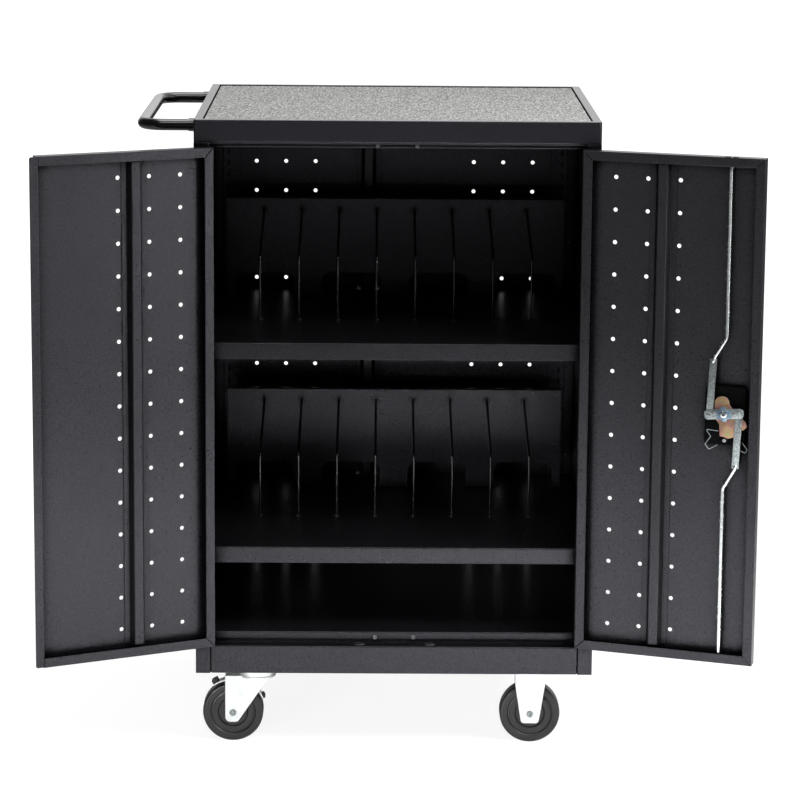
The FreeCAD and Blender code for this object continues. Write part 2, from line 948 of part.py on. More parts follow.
def hinge_door_leaf():
    return hinge_leaf_shape(-1, 1, hinge_pin_radius + running_fit)


def hinge_pin():
    axis = point(hinge_axis_from_centre, hinge_y, 0)
    return bar(hinge_pin_radius, axis + up * door_bottom, axis + up * door_top)


# Lock pieces in the closed place of the right door
def lock_point(distance, depth, z):
    return point(door_x(distance), front_y + depth, z)


def lock_centre(depth):
    return lock_point(lock_from_first_vent, depth, lock_height)


def lock_housing():
    x = door_x(lock_from_first_vent)
    half = housing_width / 2
    under = front_y + sheet
    top = front_y + housing_depth
    bottom = lock_height - housing_drop
    high = lock_height + housing_rise
    box = block(x - half, x + half, under, top, bottom, high)
    edges = [edge for edge in box.Edges if edge.BoundBox.YLength > sheet]
    box = box.makeFillet(housing_corner, edges)
    inside = block(x - half + sheet, x + half - sheet, under, top - sheet, bottom + sheet,
                   high - sheet)
    shaft = bar(shaft_radius + running_fit, lock_centre(0), lock_centre(door_depth))
    pin = screw_place()
    hole = bar(screw_shank_radius, pin, pin - inward * screw_shank_length)
    return box.cut([inside, shaft, hole])


def screw_place():
    return lock_point(lock_from_first_vent, housing_depth, lock_height - screw_drop)


def lock_escutcheon():
    x = door_x(lock_from_first_vent)
    half = escutcheon_width / 2
    tall = escutcheon_height / 2
    plate = block(x - half, x + half, front_y - escutcheon_thickness, front_y, lock_height - tall,
                  lock_height + tall)
    edges = [edge for edge in plate.Edges if edge.BoundBox.YLength > sheet]
    plate = plate.makeFillet(half / 2, edges)
    shaft = bar(shaft_radius + running_fit, lock_centre(-escutcheon_thickness), lock_centre(0))
    return plate.cut(shaft)


def lock_handle():
    face = -escutcheon_thickness - part_gap
    neck_end = face - handle_neck_length
    shaft = bar(shaft_radius, lock_centre(face), lock_centre(crossbar_bottom))
    neck = bar(handle_neck_radius, lock_centre(neck_end), lock_centre(face))
    centre = lock_centre(neck_end)
    half = grip_length / 2
    grip = block(centre.x - half, centre.x + half, centre.y - grip_thickness, centre.y,
                 centre.z - grip_width / 2, centre.z + grip_width / 2)
    grip = grip.makeFillet(grip_thickness / 3, grip.Edges)
    return joined([shaft, neck, grip])


def lock_cam():
    depth = cam_bottom
    outline_shares = [(0.68, -0.21), (0.68, -0.55), (0.50, -0.71), (0.17, -0.78), (-0.14, -0.73),
                      (-0.28, -0.57), (-0.31, -0.41), (-0.55, -0.21), (-1.23, 0.22), (-1.44, 0.32),
                      (-1.57, 0.53), (-1.31, 0.70), (-1.18, 0.73), (-0.90, 0.59), (-0.73, 1.05),
                      (-0.25, 1.14), (0, 1.07), (0.30, 1.05), (0.34, 0.50), (0.64, 0.25)]
    reach = crossbar_pivot
    scale_z = reach * 1.5
    corners = []
    for share_x, share_z in outline_shares:
        corners.append(lock_point(lock_from_first_vent - share_x * reach, depth,
                                  lock_height - share_z * scale_z))
    plate = prism(corners, inward * cam_thickness)
    return plate.cut(bar(shaft_radius, lock_centre(depth), lock_centre(depth + cam_thickness)))


def pivot_centre(side, depth):
    return lock_point(lock_from_first_vent + side * crossbar_pivot, depth, lock_height)


def lock_crossbar():
    low = crossbar_bottom
    high = low + crossbar_thickness
    centre = lock_centre(low)
    half = crossbar_half_length - crossbar_width / 2
    body = block(centre.x - half, centre.x + half, centre.y, centre.y + crossbar_thickness,
                 centre.z - crossbar_width / 2, centre.z + crossbar_width / 2)
    pieces = [body]
    for side in (-1, 1):
        end = point(centre.x + side * half, centre.y, centre.z)
        pieces.append(bar(crossbar_width / 2, end, end + inward * crossbar_thickness))
        pieces.append(bar(pivot_radius, pivot_centre(side, strap_bottom), pivot_centre(side, high)))
        head = pivot_centre(side, high)
        pieces.append(bar(pivot_head_radius, head, head + inward * pivot_head_height))
    return joined(pieces)


def lock_bolt():
    low = crossbar_bottom + crossbar_thickness
    centre = lock_centre(low)
    half = square_washer / 2
    narrow = square_washer_tongue / 2
    washer = block(centre.x - half, centre.x + half, centre.y, centre.y + square_washer_height,
                   centre.z - crossbar_width / 2, centre.z + crossbar_width / 2)
    tongue = block(centre.x - narrow, centre.x + narrow, centre.y, centre.y + square_washer_height,
                   centre.z - half, centre.z + half)
    top = low + square_washer_height
    head = bar(bolt_head_radius, lock_centre(top), lock_centre(top + bolt_head_height))
    place = screw_place()
    small_head = bar(housing_screw_radius, place, place + inward * (screw_head_height / 4))
    return [joined([washer, tongue, head]), small_head]


def strap(start, end, hole_centre):
    direction = (end - start).normalize()
    side = direction.cross(inward) * (rod_strap_width / 2)
    corners = [start + side, start - side, end - side, end + side]
    plate = prism(corners, inward * rod_strap_thickness)
    round_end = bar(rod_strap_width / 2, start, start + inward * rod_strap_thickness)
    hole = bar(pivot_radius + running_fit, hole_centre, hole_centre + inward * rod_strap_thickness)
    return joined([plate, round_end]).cut(hole)


def lock_rod(side, tip_z):
    pivot = pivot_centre(side, strap_bottom)

    def beside(offset, rise, depth):
        return lock_point(lock_from_first_vent + side * offset, depth, lock_height - side * rise)

    strap_end = beside(jog_start_offset, jog_start_rise, strap_bottom)
    flat = strap(pivot, strap_end, pivot)
    half_strap = rod_strap_thickness / 2
    toward = (strap_end - pivot).normalize()
    begin = strap_end - toward * rod_strap_width + inward * half_strap
    bend_point = strap_end + inward * half_strap
    tip_start = lock_point(lock_from_first_vent, rod_depth, tip_z)
    jogged = beside(-jog_end_offset, jog_end_rise, rod_depth)
    along = (tip_start - jogged).normalize()
    straight_end = tip_start - along * rod_tip_length
    round_part = rod_along([begin, bend_point, jogged, straight_end], rod_bend, rod_radius)
    cone = Part.makeCone(rod_radius, rod_tip_radius, rod_tip_length, straight_end, along)
    return joined([flat, round_part, cone])


def upper_lock_rod():
    return lock_rod(-1, door_top + upper_tip_overhang)


def lower_lock_rod():
    return lock_rod(1, door_bottom + lower_tip_inset)


def lock_springs():
    left_shares = [(0.31, 0.66), (0.93, 0.63), (0.68, 0.88), (0.955, 1.17), (0.76, 1.35), (0.34, 1.17)]
    right_shares = [(-0.88, 1.02), (-1.15, 1.26), (-1.05, 1.39), (-0.80, 1.32)]
    springs = []
    for shares in (left_shares, right_shares):
        depth = housing_depth + spring_radius
        points = [lock_point(lock_from_first_vent - across_share * housing_width / 2, depth,
                             lock_height - down_share * screw_drop) for across_share, down_share in shares]
        springs.append(rod_along(points, spring_radius * 2, spring_radius))
    return springs


# Casters, drawn around an axle centre
def caster_legs(outline, axle, round_radius):
    legs = []
    for side in (-1, 1):
        y = axle.y + side * fork_inner_half
        corners = [point(axle.x + x, y, axle.z + z) for x, z in outline]
        leg = prism(corners, inward * (side * fork_sheet))
        bottom = [edge for edge in leg.Edges
                  if edge.BoundBox.YLength > sheet and edge.BoundBox.Center.z < axle.z]
        legs.append(leg.makeFillet(round_radius, bottom))
    return legs


def axle_hole(axle, radius):
    reach = inward * (fork_inner_half + 2 * fork_sheet)
    return bar(radius, axle - reach, axle + reach)


def swivel_axle_centre(side):
    return point(swivel_x - swivel_trail, side * caster_y, axle_height)


def swivel_fork(side):
    axle = swivel_axle_centre(side)
    crown_z = fork_crown_top - axle_height
    outline = [(-leg_front, crown_z), (-leg_front, -leg_bottom), (leg_corner_x, -leg_bottom),
               (leg_top_x, leg_top_z), (leg_top_x, crown_z)]
    legs = caster_legs(outline, axle, leg_round)
    outer_half = fork_inner_half + fork_sheet
    crown = block(axle.x - leg_front, axle.x + leg_top_x, axle.y - outer_half, axle.y + outer_half,
                  fork_crown_top - fork_sheet, fork_crown_top)
    centre = point(swivel_x, axle.y, fork_crown_top)
    disc = bar(fork_crown_radius, centre - up * fork_sheet, centre)
    lower_race = bar(lower_race_radius, centre, point(swivel_x, axle.y, plate_bottom - race_height - race_gap))
    hole = bar(kingpin_radius + running_fit, centre - up * (2 * fork_sheet), centre + up * (2 * race_height))
    pivot = point(axle.x + brake_pivot_x, axle.y, axle.z + brake_pivot_z)
    return joined(legs + [crown, disc, lower_race]).cut(
        [hole, axle_hole(axle, axle_radius), axle_hole(pivot, brake_pivot_radius + running_fit)])


def axle_shape(axle):
    outer = fork_inner_half + fork_sheet
    pin = bar(axle_radius, axle - inward * outer, axle + inward * outer)
    heads = [bar(axle_head_radius, axle + inward * (side * outer),
                 axle + inward * (side * (outer + axle_head_height))) for side in (-1, 1)]
    return joined([pin] + heads)


def wheel(axle):
    half = wheel_width / 2
    body = bar(wheel_radius, axle - inward * half, axle + inward * half)
    rims = [edge for edge in body.Edges if edge.Length > wheel_radius]
    rims = [edge for edge in rims if edge.BoundBox.YLength < sheet]
    body = body.makeFillet(wheel_edge_round, rims)
    groove_radius = wheel_radius * wheel_groove_share
    recess_radius = wheel_radius * wheel_recess_share
    cuts = []
    for side in (-1, 1):
        face = axle + inward * (side * half)
        ring = bar(groove_radius, face - inward * (side * wheel_groove_depth), face)
        cuts.append(ring.cut(bar(groove_radius - wheel_groove_width,
                                 face - inward * (side * wheel_groove_depth), face)))
        cuts.append(bar(recess_radius, face - inward * (side * wheel_recess_depth), face))
    hub_half = wheel_hub_width / 2
    hub = bar(wheel_hub_radius, axle - inward * hub_half, axle + inward * hub_half)
    return joined([body.cut(cuts), hub]).cut(axle_hole(axle, axle_radius + running_fit))


# Curved brake plate over the wheel with a foot pad at each end
def brake_pedal(side):
    axle = swivel_axle_centre(side)

    def arc_block(inner, outer, start_angle, end_angle):
        low = axle - inward * brake_half_width
        height = 2 * brake_half_width
        ring = Part.makeCylinder(outer, height, low, inward).cut(
            Part.makeCylinder(inner, height, low, inward))
        far = 2 * outer
        middle_angle = math.radians((start_angle + end_angle) / 2)
        corners = [low]
        for angle in (math.radians(start_angle), middle_angle, math.radians(end_angle)):
            corners.append(low + across * (far * math.cos(angle)) + up * (far * math.sin(angle)))
        return ring.common(prism(corners, inward * height))

    outer = brake_inner_radius + brake_sheet
    plate = arc_block(brake_inner_radius, outer, brake_start_angle, brake_end_angle)
    pad_outer = outer + brake_pad_height
    left_pad = arc_block(brake_inner_radius, pad_outer, brake_end_angle - brake_pad_angle, brake_end_angle)
    right_pad = arc_block(brake_inner_radius, outer + brake_sheet, brake_start_angle,
                          brake_start_angle + brake_pad_angle)
    pivot = point(axle.x + brake_pivot_x, axle.y, axle.z + brake_pivot_z)
    reach = fork_inner_half + fork_sheet + brake_pin_overhang
    pin = bar(brake_pivot_radius, pivot - inward * reach, pivot + inward * reach)
    lug = bar(brake_lug_half, pivot - inward * brake_half_width, pivot + inward * brake_half_width)
    lug = lug.cut(Part.makeCylinder(brake_inner_radius, 4 * brake_half_width,
                                    axle - inward * (2 * brake_half_width), inward))
    neck = block(pivot.x - brake_lug_half, pivot.x + brake_lug_half, pivot.y - brake_half_width,
                 pivot.y + brake_half_width, pivot.z - 3 * brake_lug_half, pivot.z)
    neck = neck.cut(Part.makeCylinder(brake_inner_radius, 4 * brake_half_width,
                                      axle - inward * (2 * brake_half_width), inward))
    return joined([plate, left_pad, right_pad, pin, lug, neck])


def mounting_plate(x, y):
    plate = block(x - plate_half_length, x + plate_half_length, y - plate_half_width,
                  y + plate_half_width, plate_bottom, body_bottom)
    corners = [edge for edge in plate.Edges if edge.BoundBox.ZLength > sheet]
    return plate.makeFillet(plate_corner, corners).cut(caster_bolt_holes(x, y))


def caster_bolt_places(x, y):
    places = []
    for side_x in (-1, 1):
        for side_y in (-1, 1):
            places.append(point(x + side_x * (plate_half_length - bolt_inset),
                                y + side_y * (plate_half_width - bolt_inset), plate_bottom))
    return places


def caster_bolt_holes(x, y):
    return [bar(caster_bolt_radius, place, place + up * plate_thickness)
            for place in caster_bolt_places(x, y)]


def caster_centres():
    return [(x, side * caster_y) for x in (swivel_x, rigid_x) for side in (-1, 1)]


def caster_bolts():
    bolts = []
    for x, y in caster_centres():
        for place in caster_bolt_places(x, y):
            head = bar(caster_bolt_head_radius, place - up * caster_bolt_head_height, place)
            shank = bar(caster_bolt_radius, place, place + up * plate_thickness)
            bolts.append(joined([head, shank]))
    return bolts


def swivel_plate(side):
    y = side * caster_y
    plate = mounting_plate(swivel_x, y)
    centre = point(swivel_x, y, plate_bottom)
    race = bar(race_radius, centre - up * race_height, centre)
    hole = bar(kingpin_radius, centre - up * race_height, centre + up * plate_thickness)
    return joined([plate, race]).cut(hole)


def kingpin(side):
    y = side * caster_y
    crown_under = fork_crown_top - fork_sheet - race_gap
    bottom = point(swivel_x, y, crown_under - kingpin_head_height)
    shank = bar(kingpin_radius, bottom, point(swivel_x, y, body_bottom))
    head = bar(kingpin_head_radius, bottom, bottom + up * kingpin_head_height)
    return joined([shank, head])


def rigid_fork(side):
    axle = point(rigid_x, side * caster_y, axle_height)
    top = plate_bottom - axle_height
    outline = [(-rigid_leg_top, top), (-rigid_leg_top, rigid_leg_shoulder), (-rigid_leg_bottom, -leg_bottom),
               (rigid_leg_bottom, -leg_bottom), (rigid_leg_top, rigid_leg_shoulder), (rigid_leg_top, top)]
    legs = caster_legs(outline, axle, rigid_leg_round)
    outer_half = fork_inner_half + fork_sheet
    web = block(axle.x - rigid_leg_top, axle.x + rigid_leg_top, axle.y - outer_half, axle.y + outer_half,
                plate_bottom - fork_sheet, plate_bottom)
    plate = mounting_plate(axle.x, axle.y)
    return joined(legs + [web, plate]).cut(axle_hole(axle, axle_radius))


def rigid_axle_centre(side):
    return point(rigid_x, side * caster_y, axle_height)


# Body
right_side = side_panel().cut(screw_holes())
save("right_side_panel", right_side)
save("left_side_panel", mirrored(right_side))
save("back_panel", back_panel().cut(screw_holes()))
save("back_stiffener", back_stiffener())
save("roof_panel", roof_panel())
save("front_header", front_header())
save("top_tray", top_tray())
save("tray_mat", tray_mat())
save("floor_panel", floor_panel())
save("front_skirt", front_skirt())
save("rear_skirt", rear_skirt())
save("caster_channels", caster_channels())

# Shelves, partitions and dividers
save("upper_shelf", shelf(upper_shelf_top))
save("lower_shelf", shelf(lower_shelf_top))
save("slotted_uprights", slotted_uprights())
save("shelf_clips", shelf_clips())
save("upper_partition", partition(upper_shelf_top))
save("lower_partition", partition(lower_shelf_top))
save("divider_bushings", divider_bushings())
save("upper_dividers", dividers(upper_shelf_top))
save("lower_dividers", dividers(lower_shelf_top))
save("divider_feet", divider_feet())

# Handle, bumpers and screws
save("push_handle", push_handle())
save("handle_collars", handle_collars())
save("door_bumpers", door_bumpers())
save("cabinet_screws", cabinet_screws())

# Hinges
save("hinge_post_leaves", both_sides(hinge_post_leaf()))
save("hinge_pins", both_sides(hinge_pin()))
save("right_hinge_leaf", swing_all([hinge_door_leaf()], 1))
save("left_hinge_leaf", swing_all([mirrored(hinge_door_leaf())], -1))

# Doors
shaft_hole = bar(shaft_radius + running_fit, lock_centre(0), lock_centre(sheet))
save("right_door_panel", swing_all([door_skin().cut(shaft_hole)], 1))
save("left_door_panel", swing_all([mirrored(door_skin())], -1))
save("right_door_edges", swing_all(door_edges(False), 1))
save("left_door_edges", swing_all([mirrored(edge) for edge in door_edges(True)], -1))
save("right_door_stiffener", swing_all([door_stiffener()], 1))
save("left_door_stiffener", swing_all([mirrored(door_stiffener())], -1))

# Lock
save("lock_housing", swing_all([lock_housing()], 1))
save("lock_escutcheon", swing_all([lock_escutcheon()], 1))
save("lock_handle", swing_all([lock_handle()], 1))
save("lock_cam", swing_all([lock_cam()], 1))
save("lock_crossbar", swing_all([lock_crossbar()], 1))
save("lock_bolt", swing_all([lock_bolt()[0]], 1))
save("upper_lock_rod", swing_all([upper_lock_rod()], 1))
save("lower_lock_rod", swing_all([lower_lock_rod()], 1))
save("lock_fittings", swing_all(lock_springs() + [lock_bolt()[1]], 1))

# Casters
save("caster_bolts", caster_bolts())
save("swivel_caster_plates", [swivel_plate(side) for side in (-1, 1)])
save("swivel_kingpins", [kingpin(side) for side in (-1, 1)])
save("rigid_caster_forks", [rigid_fork(side) for side in (-1, 1)])
save("rigid_caster_axles", [axle_shape(rigid_axle_centre(side)) for side in (-1, 1)])
for side, place in ((-1, "front"), (1, "rear")):
    save(place + "_swivel_fork", swivel_fork(side))
    save(place + "_swivel_axle", axle_shape(swivel_axle_centre(side)))
    save(place + "_brake_pedal", brake_pedal(side))
    save("left_" + place + "_wheel", wheel(swivel_axle_centre(side)))
    save("right_" + place + "_wheel", wheel(rigid_axle_centre(side)))
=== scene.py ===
import json
import math

import bmesh
import bpy
from mathutils import Matrix, Vector


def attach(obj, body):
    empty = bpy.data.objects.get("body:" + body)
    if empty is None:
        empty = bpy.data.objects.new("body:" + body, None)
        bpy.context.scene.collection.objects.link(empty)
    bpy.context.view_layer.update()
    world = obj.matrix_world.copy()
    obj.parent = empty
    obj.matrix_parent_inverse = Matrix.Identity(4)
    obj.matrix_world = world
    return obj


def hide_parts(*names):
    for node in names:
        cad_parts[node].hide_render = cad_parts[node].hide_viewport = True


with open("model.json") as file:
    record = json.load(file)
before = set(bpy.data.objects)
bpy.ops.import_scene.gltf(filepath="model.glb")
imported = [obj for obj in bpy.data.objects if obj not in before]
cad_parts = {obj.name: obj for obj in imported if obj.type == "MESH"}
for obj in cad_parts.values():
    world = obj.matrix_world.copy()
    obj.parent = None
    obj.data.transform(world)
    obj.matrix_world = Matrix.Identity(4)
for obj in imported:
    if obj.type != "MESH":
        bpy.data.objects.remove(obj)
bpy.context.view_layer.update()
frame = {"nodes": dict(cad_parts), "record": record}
print("frame loaded with", len(frame["nodes"]), "nodes")

# Camera, fitted to the cart's corners: lengths in pixels of an 800 pixel frame, angles in radians and
# the place in metres
view = {"focal": 2934.24, "centreX": 403.345, "centreY": 288.242, "size": 800.0, "sensor": 36.0,
        "pitch": 0.172335, "yaw": 0.009222, "roll": 0.007893, "place": (-0.032724, -4.98639, 1.60552),
        "clipEnd": 100}


def placeCamera():
    pitch, yaw, roll = view["pitch"], view["yaw"], view["roll"]
    forward = Vector((math.sin(yaw) * math.cos(pitch), math.cos(yaw) * math.cos(pitch), -math.sin(pitch)))
    right = Vector((math.cos(yaw), -math.sin(yaw), 0))
    up = right.cross(forward)
    turnedRight = right * math.cos(roll) + up * math.sin(roll)
    turnedUp = up * math.cos(roll) - right * math.sin(roll)
    data = bpy.data.cameras.new("camera")
    data.sensor_width = view["sensor"]
    data.lens = view["sensor"] * view["focal"] / view["size"]
    data.shift_x = (view["size"] / 2 - view["centreX"]) / view["size"]
    data.shift_y = (view["centreY"] - view["size"] / 2) / view["size"]
    data.clip_end = view["clipEnd"]
    camera = bpy.data.objects.new("camera", data)
    rotation = Matrix((turnedRight, turnedUp, -forward)).transposed().to_4x4()
    camera.matrix_world = Matrix.Translation(view["place"]) @ rotation
    bpy.context.scene.collection.objects.link(camera)
    bpy.context.scene.camera = camera


placeCamera()
print("camera placed")


# Node helper and colours
def linear(hexColour):
    values = []
    for index in (0, 2, 4):
        value = int(hexColour[index:index + 2], 16) / 255
        values.append(value / 12.92 if value <= 0.04045 else ((value + 0.055) / 1.055) ** 2.4)
    return (*values, 1)


def addNode(tree, kind, settings=None, links=None):
    node = tree.nodes.new(kind)
    for name, value in (settings or {}).items():
        if name in node.inputs:
            node.inputs[name].default_value = value
        else:
            setattr(node, name, value)
    for name, source in (links or {}).items():
        tree.links.new(source, node.inputs[name])
    return node


def startMaterial(name):
    material = bpy.data.materials.new(name)
    material.use_nodes = True
    tree = material.node_tree
    tree.nodes.clear()
    place = addNode(tree, "ShaderNodeTexCoord").outputs["Object"]
    return material, tree, place


def endMaterial(tree, shader):
    addNode(tree, "ShaderNodeOutputMaterial", links={"Surface": shader.outputs["BSDF"]})


def colourRamp(tree, factor, stops):
    ramp = addNode(tree, "ShaderNodeValToRGB", links={"Fac": factor})
    elements = ramp.color_ramp.elements
    while len(elements) < len(stops):
        elements.new(0.5)
    for element, (position, colour) in zip(elements, stops):
        element.position = position
        element.color = linear(colour)
    return ramp.outputs["Color"]


# Noise scale for a grain of so many millimetres
def perMillimetre(grain):
    return 1000 / grain


# Powder coat: epoxy sprayed dry and baked, which gives a soft sheen over a fine orange peel. The real peel is
# about 1 mm across and is drawn at 1.6 to 2.6 mm so that it shows, over slow clouds of 140 mm. The coat rounds
# each bend by 1.6 mm, and its sheen is darkened in inner corners, a painted shade. The sheen's own value stands
# in the export, which drops the link.
def powderCoat(name, dark, light, roughness, peelSize, peelDepth, sheen):
    material, tree, place = startMaterial(name)
    peel = addNode(tree, "ShaderNodeTexNoise", {"Scale": perMillimetre(peelSize), "Detail": 3.0},
                   {"Vector": place}).outputs["Fac"]
    cloud = addNode(tree, "ShaderNodeTexNoise", {"Scale": perMillimetre(140), "Detail": 2.0},
                    {"Vector": place}).outputs["Fac"]
    mixed = addNode(tree, "ShaderNodeMix", {"data_type": "FLOAT", "Factor": 0.75}, {"A": cloud, "B": peel})
    colour = colourRamp(tree, mixed.outputs["Result"], [(0.36, dark), (0.66, light)])
    rough = addNode(tree, "ShaderNodeMapRange",
                    {"From Min": 0.3, "From Max": 0.7, "To Min": roughness - 0.04, "To Max": roughness + 0.06},
                    {"Value": peel}).outputs["Result"]
    rounded = addNode(tree, "ShaderNodeBevel", {"samples": 6, "Radius": 0.0016}).outputs["Normal"]
    bump = addNode(tree, "ShaderNodeBump", {"Strength": 0.2, "Distance": peelDepth},
                   {"Height": peel, "Normal": rounded})
    peelGloss = addNode(tree, "ShaderNodeMapRange",
                        {"From Min": 0.35, "From Max": 0.65, "To Min": sheen * 0.86, "To Max": sheen * 1.14},
                        {"Value": peel}).outputs["Result"]
    # Painted shade: an ambient occlusion node darkens the sheen in inner corners, creases and under lips, where
    # shade falls
    cornerShadeOcclusion = addNode(tree, "ShaderNodeAmbientOcclusion", {"samples": 8, "Distance": 0.03}).outputs["AO"]
    paintedCornerShade = addNode(tree, "ShaderNodeMapRange",
                      {"From Min": 0.45, "From Max": 0.9, "To Min": 0.0, "To Max": 1.0},
                      {"Value": cornerShadeOcclusion}).outputs["Result"]
    glossWithPaintedShade = addNode(tree, "ShaderNodeMath", {"operation": "MULTIPLY"},
                    {0: peelGloss, 1: paintedCornerShade}).outputs["Value"]
    shader = addNode(tree, "ShaderNodeBsdfPrincipled",
                     {"IOR": 1.5, "Specular IOR Level": sheen, "Specular Tint": (0.9, 0.89, 1.0, 1)},
                     {"Base Color": colour, "Roughness": rough, "Specular IOR Level": glossWithPaintedShade,
                      "Normal": bump.outputs["Normal"]})
    endMaterial(tree, shader)
    return material


# Rubber and plastic: moulded, matte, with a faint grain of 1 to 2 mm
def moulded(name, dark, light, roughness, grain, depth):
    material, tree, place = startMaterial(name)
    fleck = addNode(tree, "ShaderNodeTexNoise",
                    {"Scale": perMillimetre(grain), "Detail": 4.0, "Roughness": 0.7},
                    {"Vector": place}).outputs["Fac"]
    colour = colourRamp(tree, fleck, [(0.36, dark), (0.66, light)])
    bump = addNode(tree, "ShaderNodeBump", {"Strength": 0.4, "Distance": depth}, {"Height": fleck})
    shader = addNode(tree, "ShaderNodeBsdfPrincipled", {"IOR": 1.52, "Roughness": roughness},
                     {"Base Color": colour, "Normal": bump.outputs["Normal"]})
    endMaterial(tree, shader)
    return material


# Tray mat: grey rubber, matte, with pale flecks drawn out front to back on fine ribs. The flecks are drawn
# coarser than the real ones, at 3.2 mm, so that they show.
def fleckedMat(name, stops, fleckSize, ribPitch):
    material, tree, place = startMaterial(name)
    stretched = addNode(tree, "ShaderNodeMapping", {"Scale": (1.0, 0.3, 1.0)},
                        {"Vector": place}).outputs["Vector"]
    fleck = addNode(tree, "ShaderNodeTexNoise",
                    {"Scale": perMillimetre(fleckSize), "Detail": 2.0, "Roughness": 0.75},
                    {"Vector": stretched}).outputs["Fac"]
    colour = colourRamp(tree, fleck, stops)
    rib = addNode(tree, "ShaderNodeTexWave",  # one wave is 2 pi / 20 units long at a scale of 1
                  {"Scale": perMillimetre(ribPitch) * math.pi / 10, "wave_type": "BANDS",
                   "bands_direction": "X"}, {"Vector": place}).outputs["Fac"]
    bump = addNode(tree, "ShaderNodeBump", {"Strength": 0.3, "Distance": 0.0003}, {"Height": rib})
    shader = addNode(tree, "ShaderNodeBsdfPrincipled", {"IOR": 1.5, "Roughness": 0.8},
                     {"Base Color": colour, "Normal": bump.outputs["Normal"]})
    endMaterial(tree, shader)
    return material


# Gloss enamel or dipped coating: smooth and dark, wavy over 9 to 18 mm
def glossCoat(name, dark, light, roughness, waveSize):
    material, tree, place = startMaterial(name)
    wave = addNode(tree, "ShaderNodeTexNoise", {"Scale": perMillimetre(waveSize), "Detail": 2.0},
                   {"Vector": place}).outputs["Fac"]
    colour = colourRamp(tree, wave, [(0.3, dark), (0.7, light)])
    bump = addNode(tree, "ShaderNodeBump", {"Strength": 0.15, "Distance": 0.0002}, {"Height": wave})
    shader = addNode(tree, "ShaderNodeBsdfPrincipled",
                     {"IOR": 1.5, "Roughness": roughness, "Coat Weight": 0.5, "Coat Roughness": 0.12},
                     {"Base Color": colour, "Normal": bump.outputs["Normal"]})
    endMaterial(tree, shader)
    return material


# Zinc plate: bright or chromated steel, with clouds and crystals of 1 to 20 mm that catch the light unevenly
def zincPlate(name, stops, roughness, cloudSize, metallic=1.0):
    material, tree, place = startMaterial(name)
    cloud = addNode(tree, "ShaderNodeTexNoise", {"Scale": perMillimetre(cloudSize), "Detail": 3.0},
                    {"Vector": place}).outputs["Fac"]
    crystal = addNode(tree, "ShaderNodeTexVoronoi", {"Scale": perMillimetre(cloudSize * 0.35)},
                      {"Vector": place}).outputs["Distance"]
    mixed = addNode(tree, "ShaderNodeMix", {"data_type": "FLOAT", "Factor": 0.35},
                    {"A": cloud, "B": crystal}).outputs["Result"]
    colour = colourRamp(tree, mixed, stops)
    rough = addNode(tree, "ShaderNodeMapRange",
                    {"From Min": 0.2, "From Max": 0.7, "To Min": roughness - 0.08, "To Max": roughness + 0.1},
                    {"Value": mixed}).outputs["Result"]
    bump = addNode(tree, "ShaderNodeBump", {"Strength": 0.2, "Distance": 0.0001}, {"Height": mixed})
    shader = addNode(tree, "ShaderNodeBsdfPrincipled", {"Metallic": metallic},
                     {"Base Color": colour, "Roughness": rough, "Normal": bump.outputs["Normal"]})
    endMaterial(tree, shader)
    return material


# The record's material slots. Sizes are in millimetres, depths in metres.
finishes = {
    "black_coat": powderCoat("cabinetPowderCoat", "050506", "141416", roughness=0.3, peelSize=2.6,
                             peelDepth=0.00012, sheen=0.6),
    "tray_coat": powderCoat("trayPowderCoat", "121317", "18191f", roughness=0.2, peelSize=1.6,
                            peelDepth=0.00003, sheen=0.8),
    "grey_mat": fleckedMat("fleckedRubberMat", [(0.36, "6c6c6a"), (0.5, "9c9c9a"), (0.64, "cececb")],
                           fleckSize=3.2, ribPitch=5.9218),
    "gloss_black": glossCoat("glossBlackEnamel", "070708", "0e0e10", roughness=0.22, waveSize=18),
    "black_wire": glossCoat("dippedBlackWire", "060607", "0d0d0f", roughness=0.25, waveSize=9),
    "black_plastic": moulded("mouldedBlackPlastic", "050506", "0a0a0b", roughness=0.55, grain=2.0,
                             depth=0.00005),
    "black_rubber": moulded("blackRubber", "0a0a0a", "141414", roughness=0.7, grain=1.5, depth=0.0001),
    "wheel_rubber": moulded("hardWheelRubber", "18181a", "212123", roughness=0.4, grain=1.2, depth=0.00006),
    "bright_zinc": zincPlate("brightZincPlate", [(0.25, "5f6668"), (0.45, "939b9c"), (0.75, "c9d0d1")],
                             roughness=0.32, cloudSize=3.5),
    "caster_zinc": zincPlate("paleZincPlate", [(0.2, "e2e6e7"), (0.5, "eef0f0"), (0.8, "f8f9f9")],
                             roughness=0.35, cloudSize=20, metallic=0.85),
    "yellow_zinc": zincPlate("yellowChromatePlate",
                             [(0.22, "98666a"), (0.42, "a67b77"), (0.56, "ab8d66"), (0.68, "929a6c")],
                             roughness=0.4, cloudSize=15, metallic=0.6),
    "dark_steel": zincPlate("darkPlatedSteel", [(0.2, "45474a"), (0.5, "5a5c60"), (0.8, "707276")],
                            roughness=0.35, cloudSize=5),
}
# Finishes of single pieces: stoved black case, polished rods, blued washer and grey rubber bumpers
special = {
    "lockCase": powderCoat("stovedBlackCase", "030303", "070707", roughness=0.5, peelSize=2.2,
                           peelDepth=0.0001, sheen=0.06),
    "polishedRod": zincPlate("polishedZincRod", [(0.2, "c6cccd"), (0.5, "e2e6e6"), (0.8, "f5f6f6")],
                             roughness=0.2, cloudSize=14),
    "blueWasher": zincPlate("bluedZincWasher", [(0.2, "54697c"), (0.5, "7890a2"), (0.8, "a9bac6")],
                            roughness=0.35, cloudSize=3, metallic=0.8),
    "greyBumper": moulded("greyRubberBumper", "4a4b4d", "646568", roughness=0.6, grain=1.5, depth=0.0001),
}
slotOf = {row["node"]: row["material_slot"] for row in frame["record"]["subparts"]}
for nodeName, nodeObject in frame["nodes"].items():
    nodeObject.data.materials.clear()
    nodeObject.data.materials.append(finishes[slotOf[nodeName]])
frame["nodes"]["door_bumpers"].data.materials[0] = special["greyBumper"]
print("finishes given to the frame")

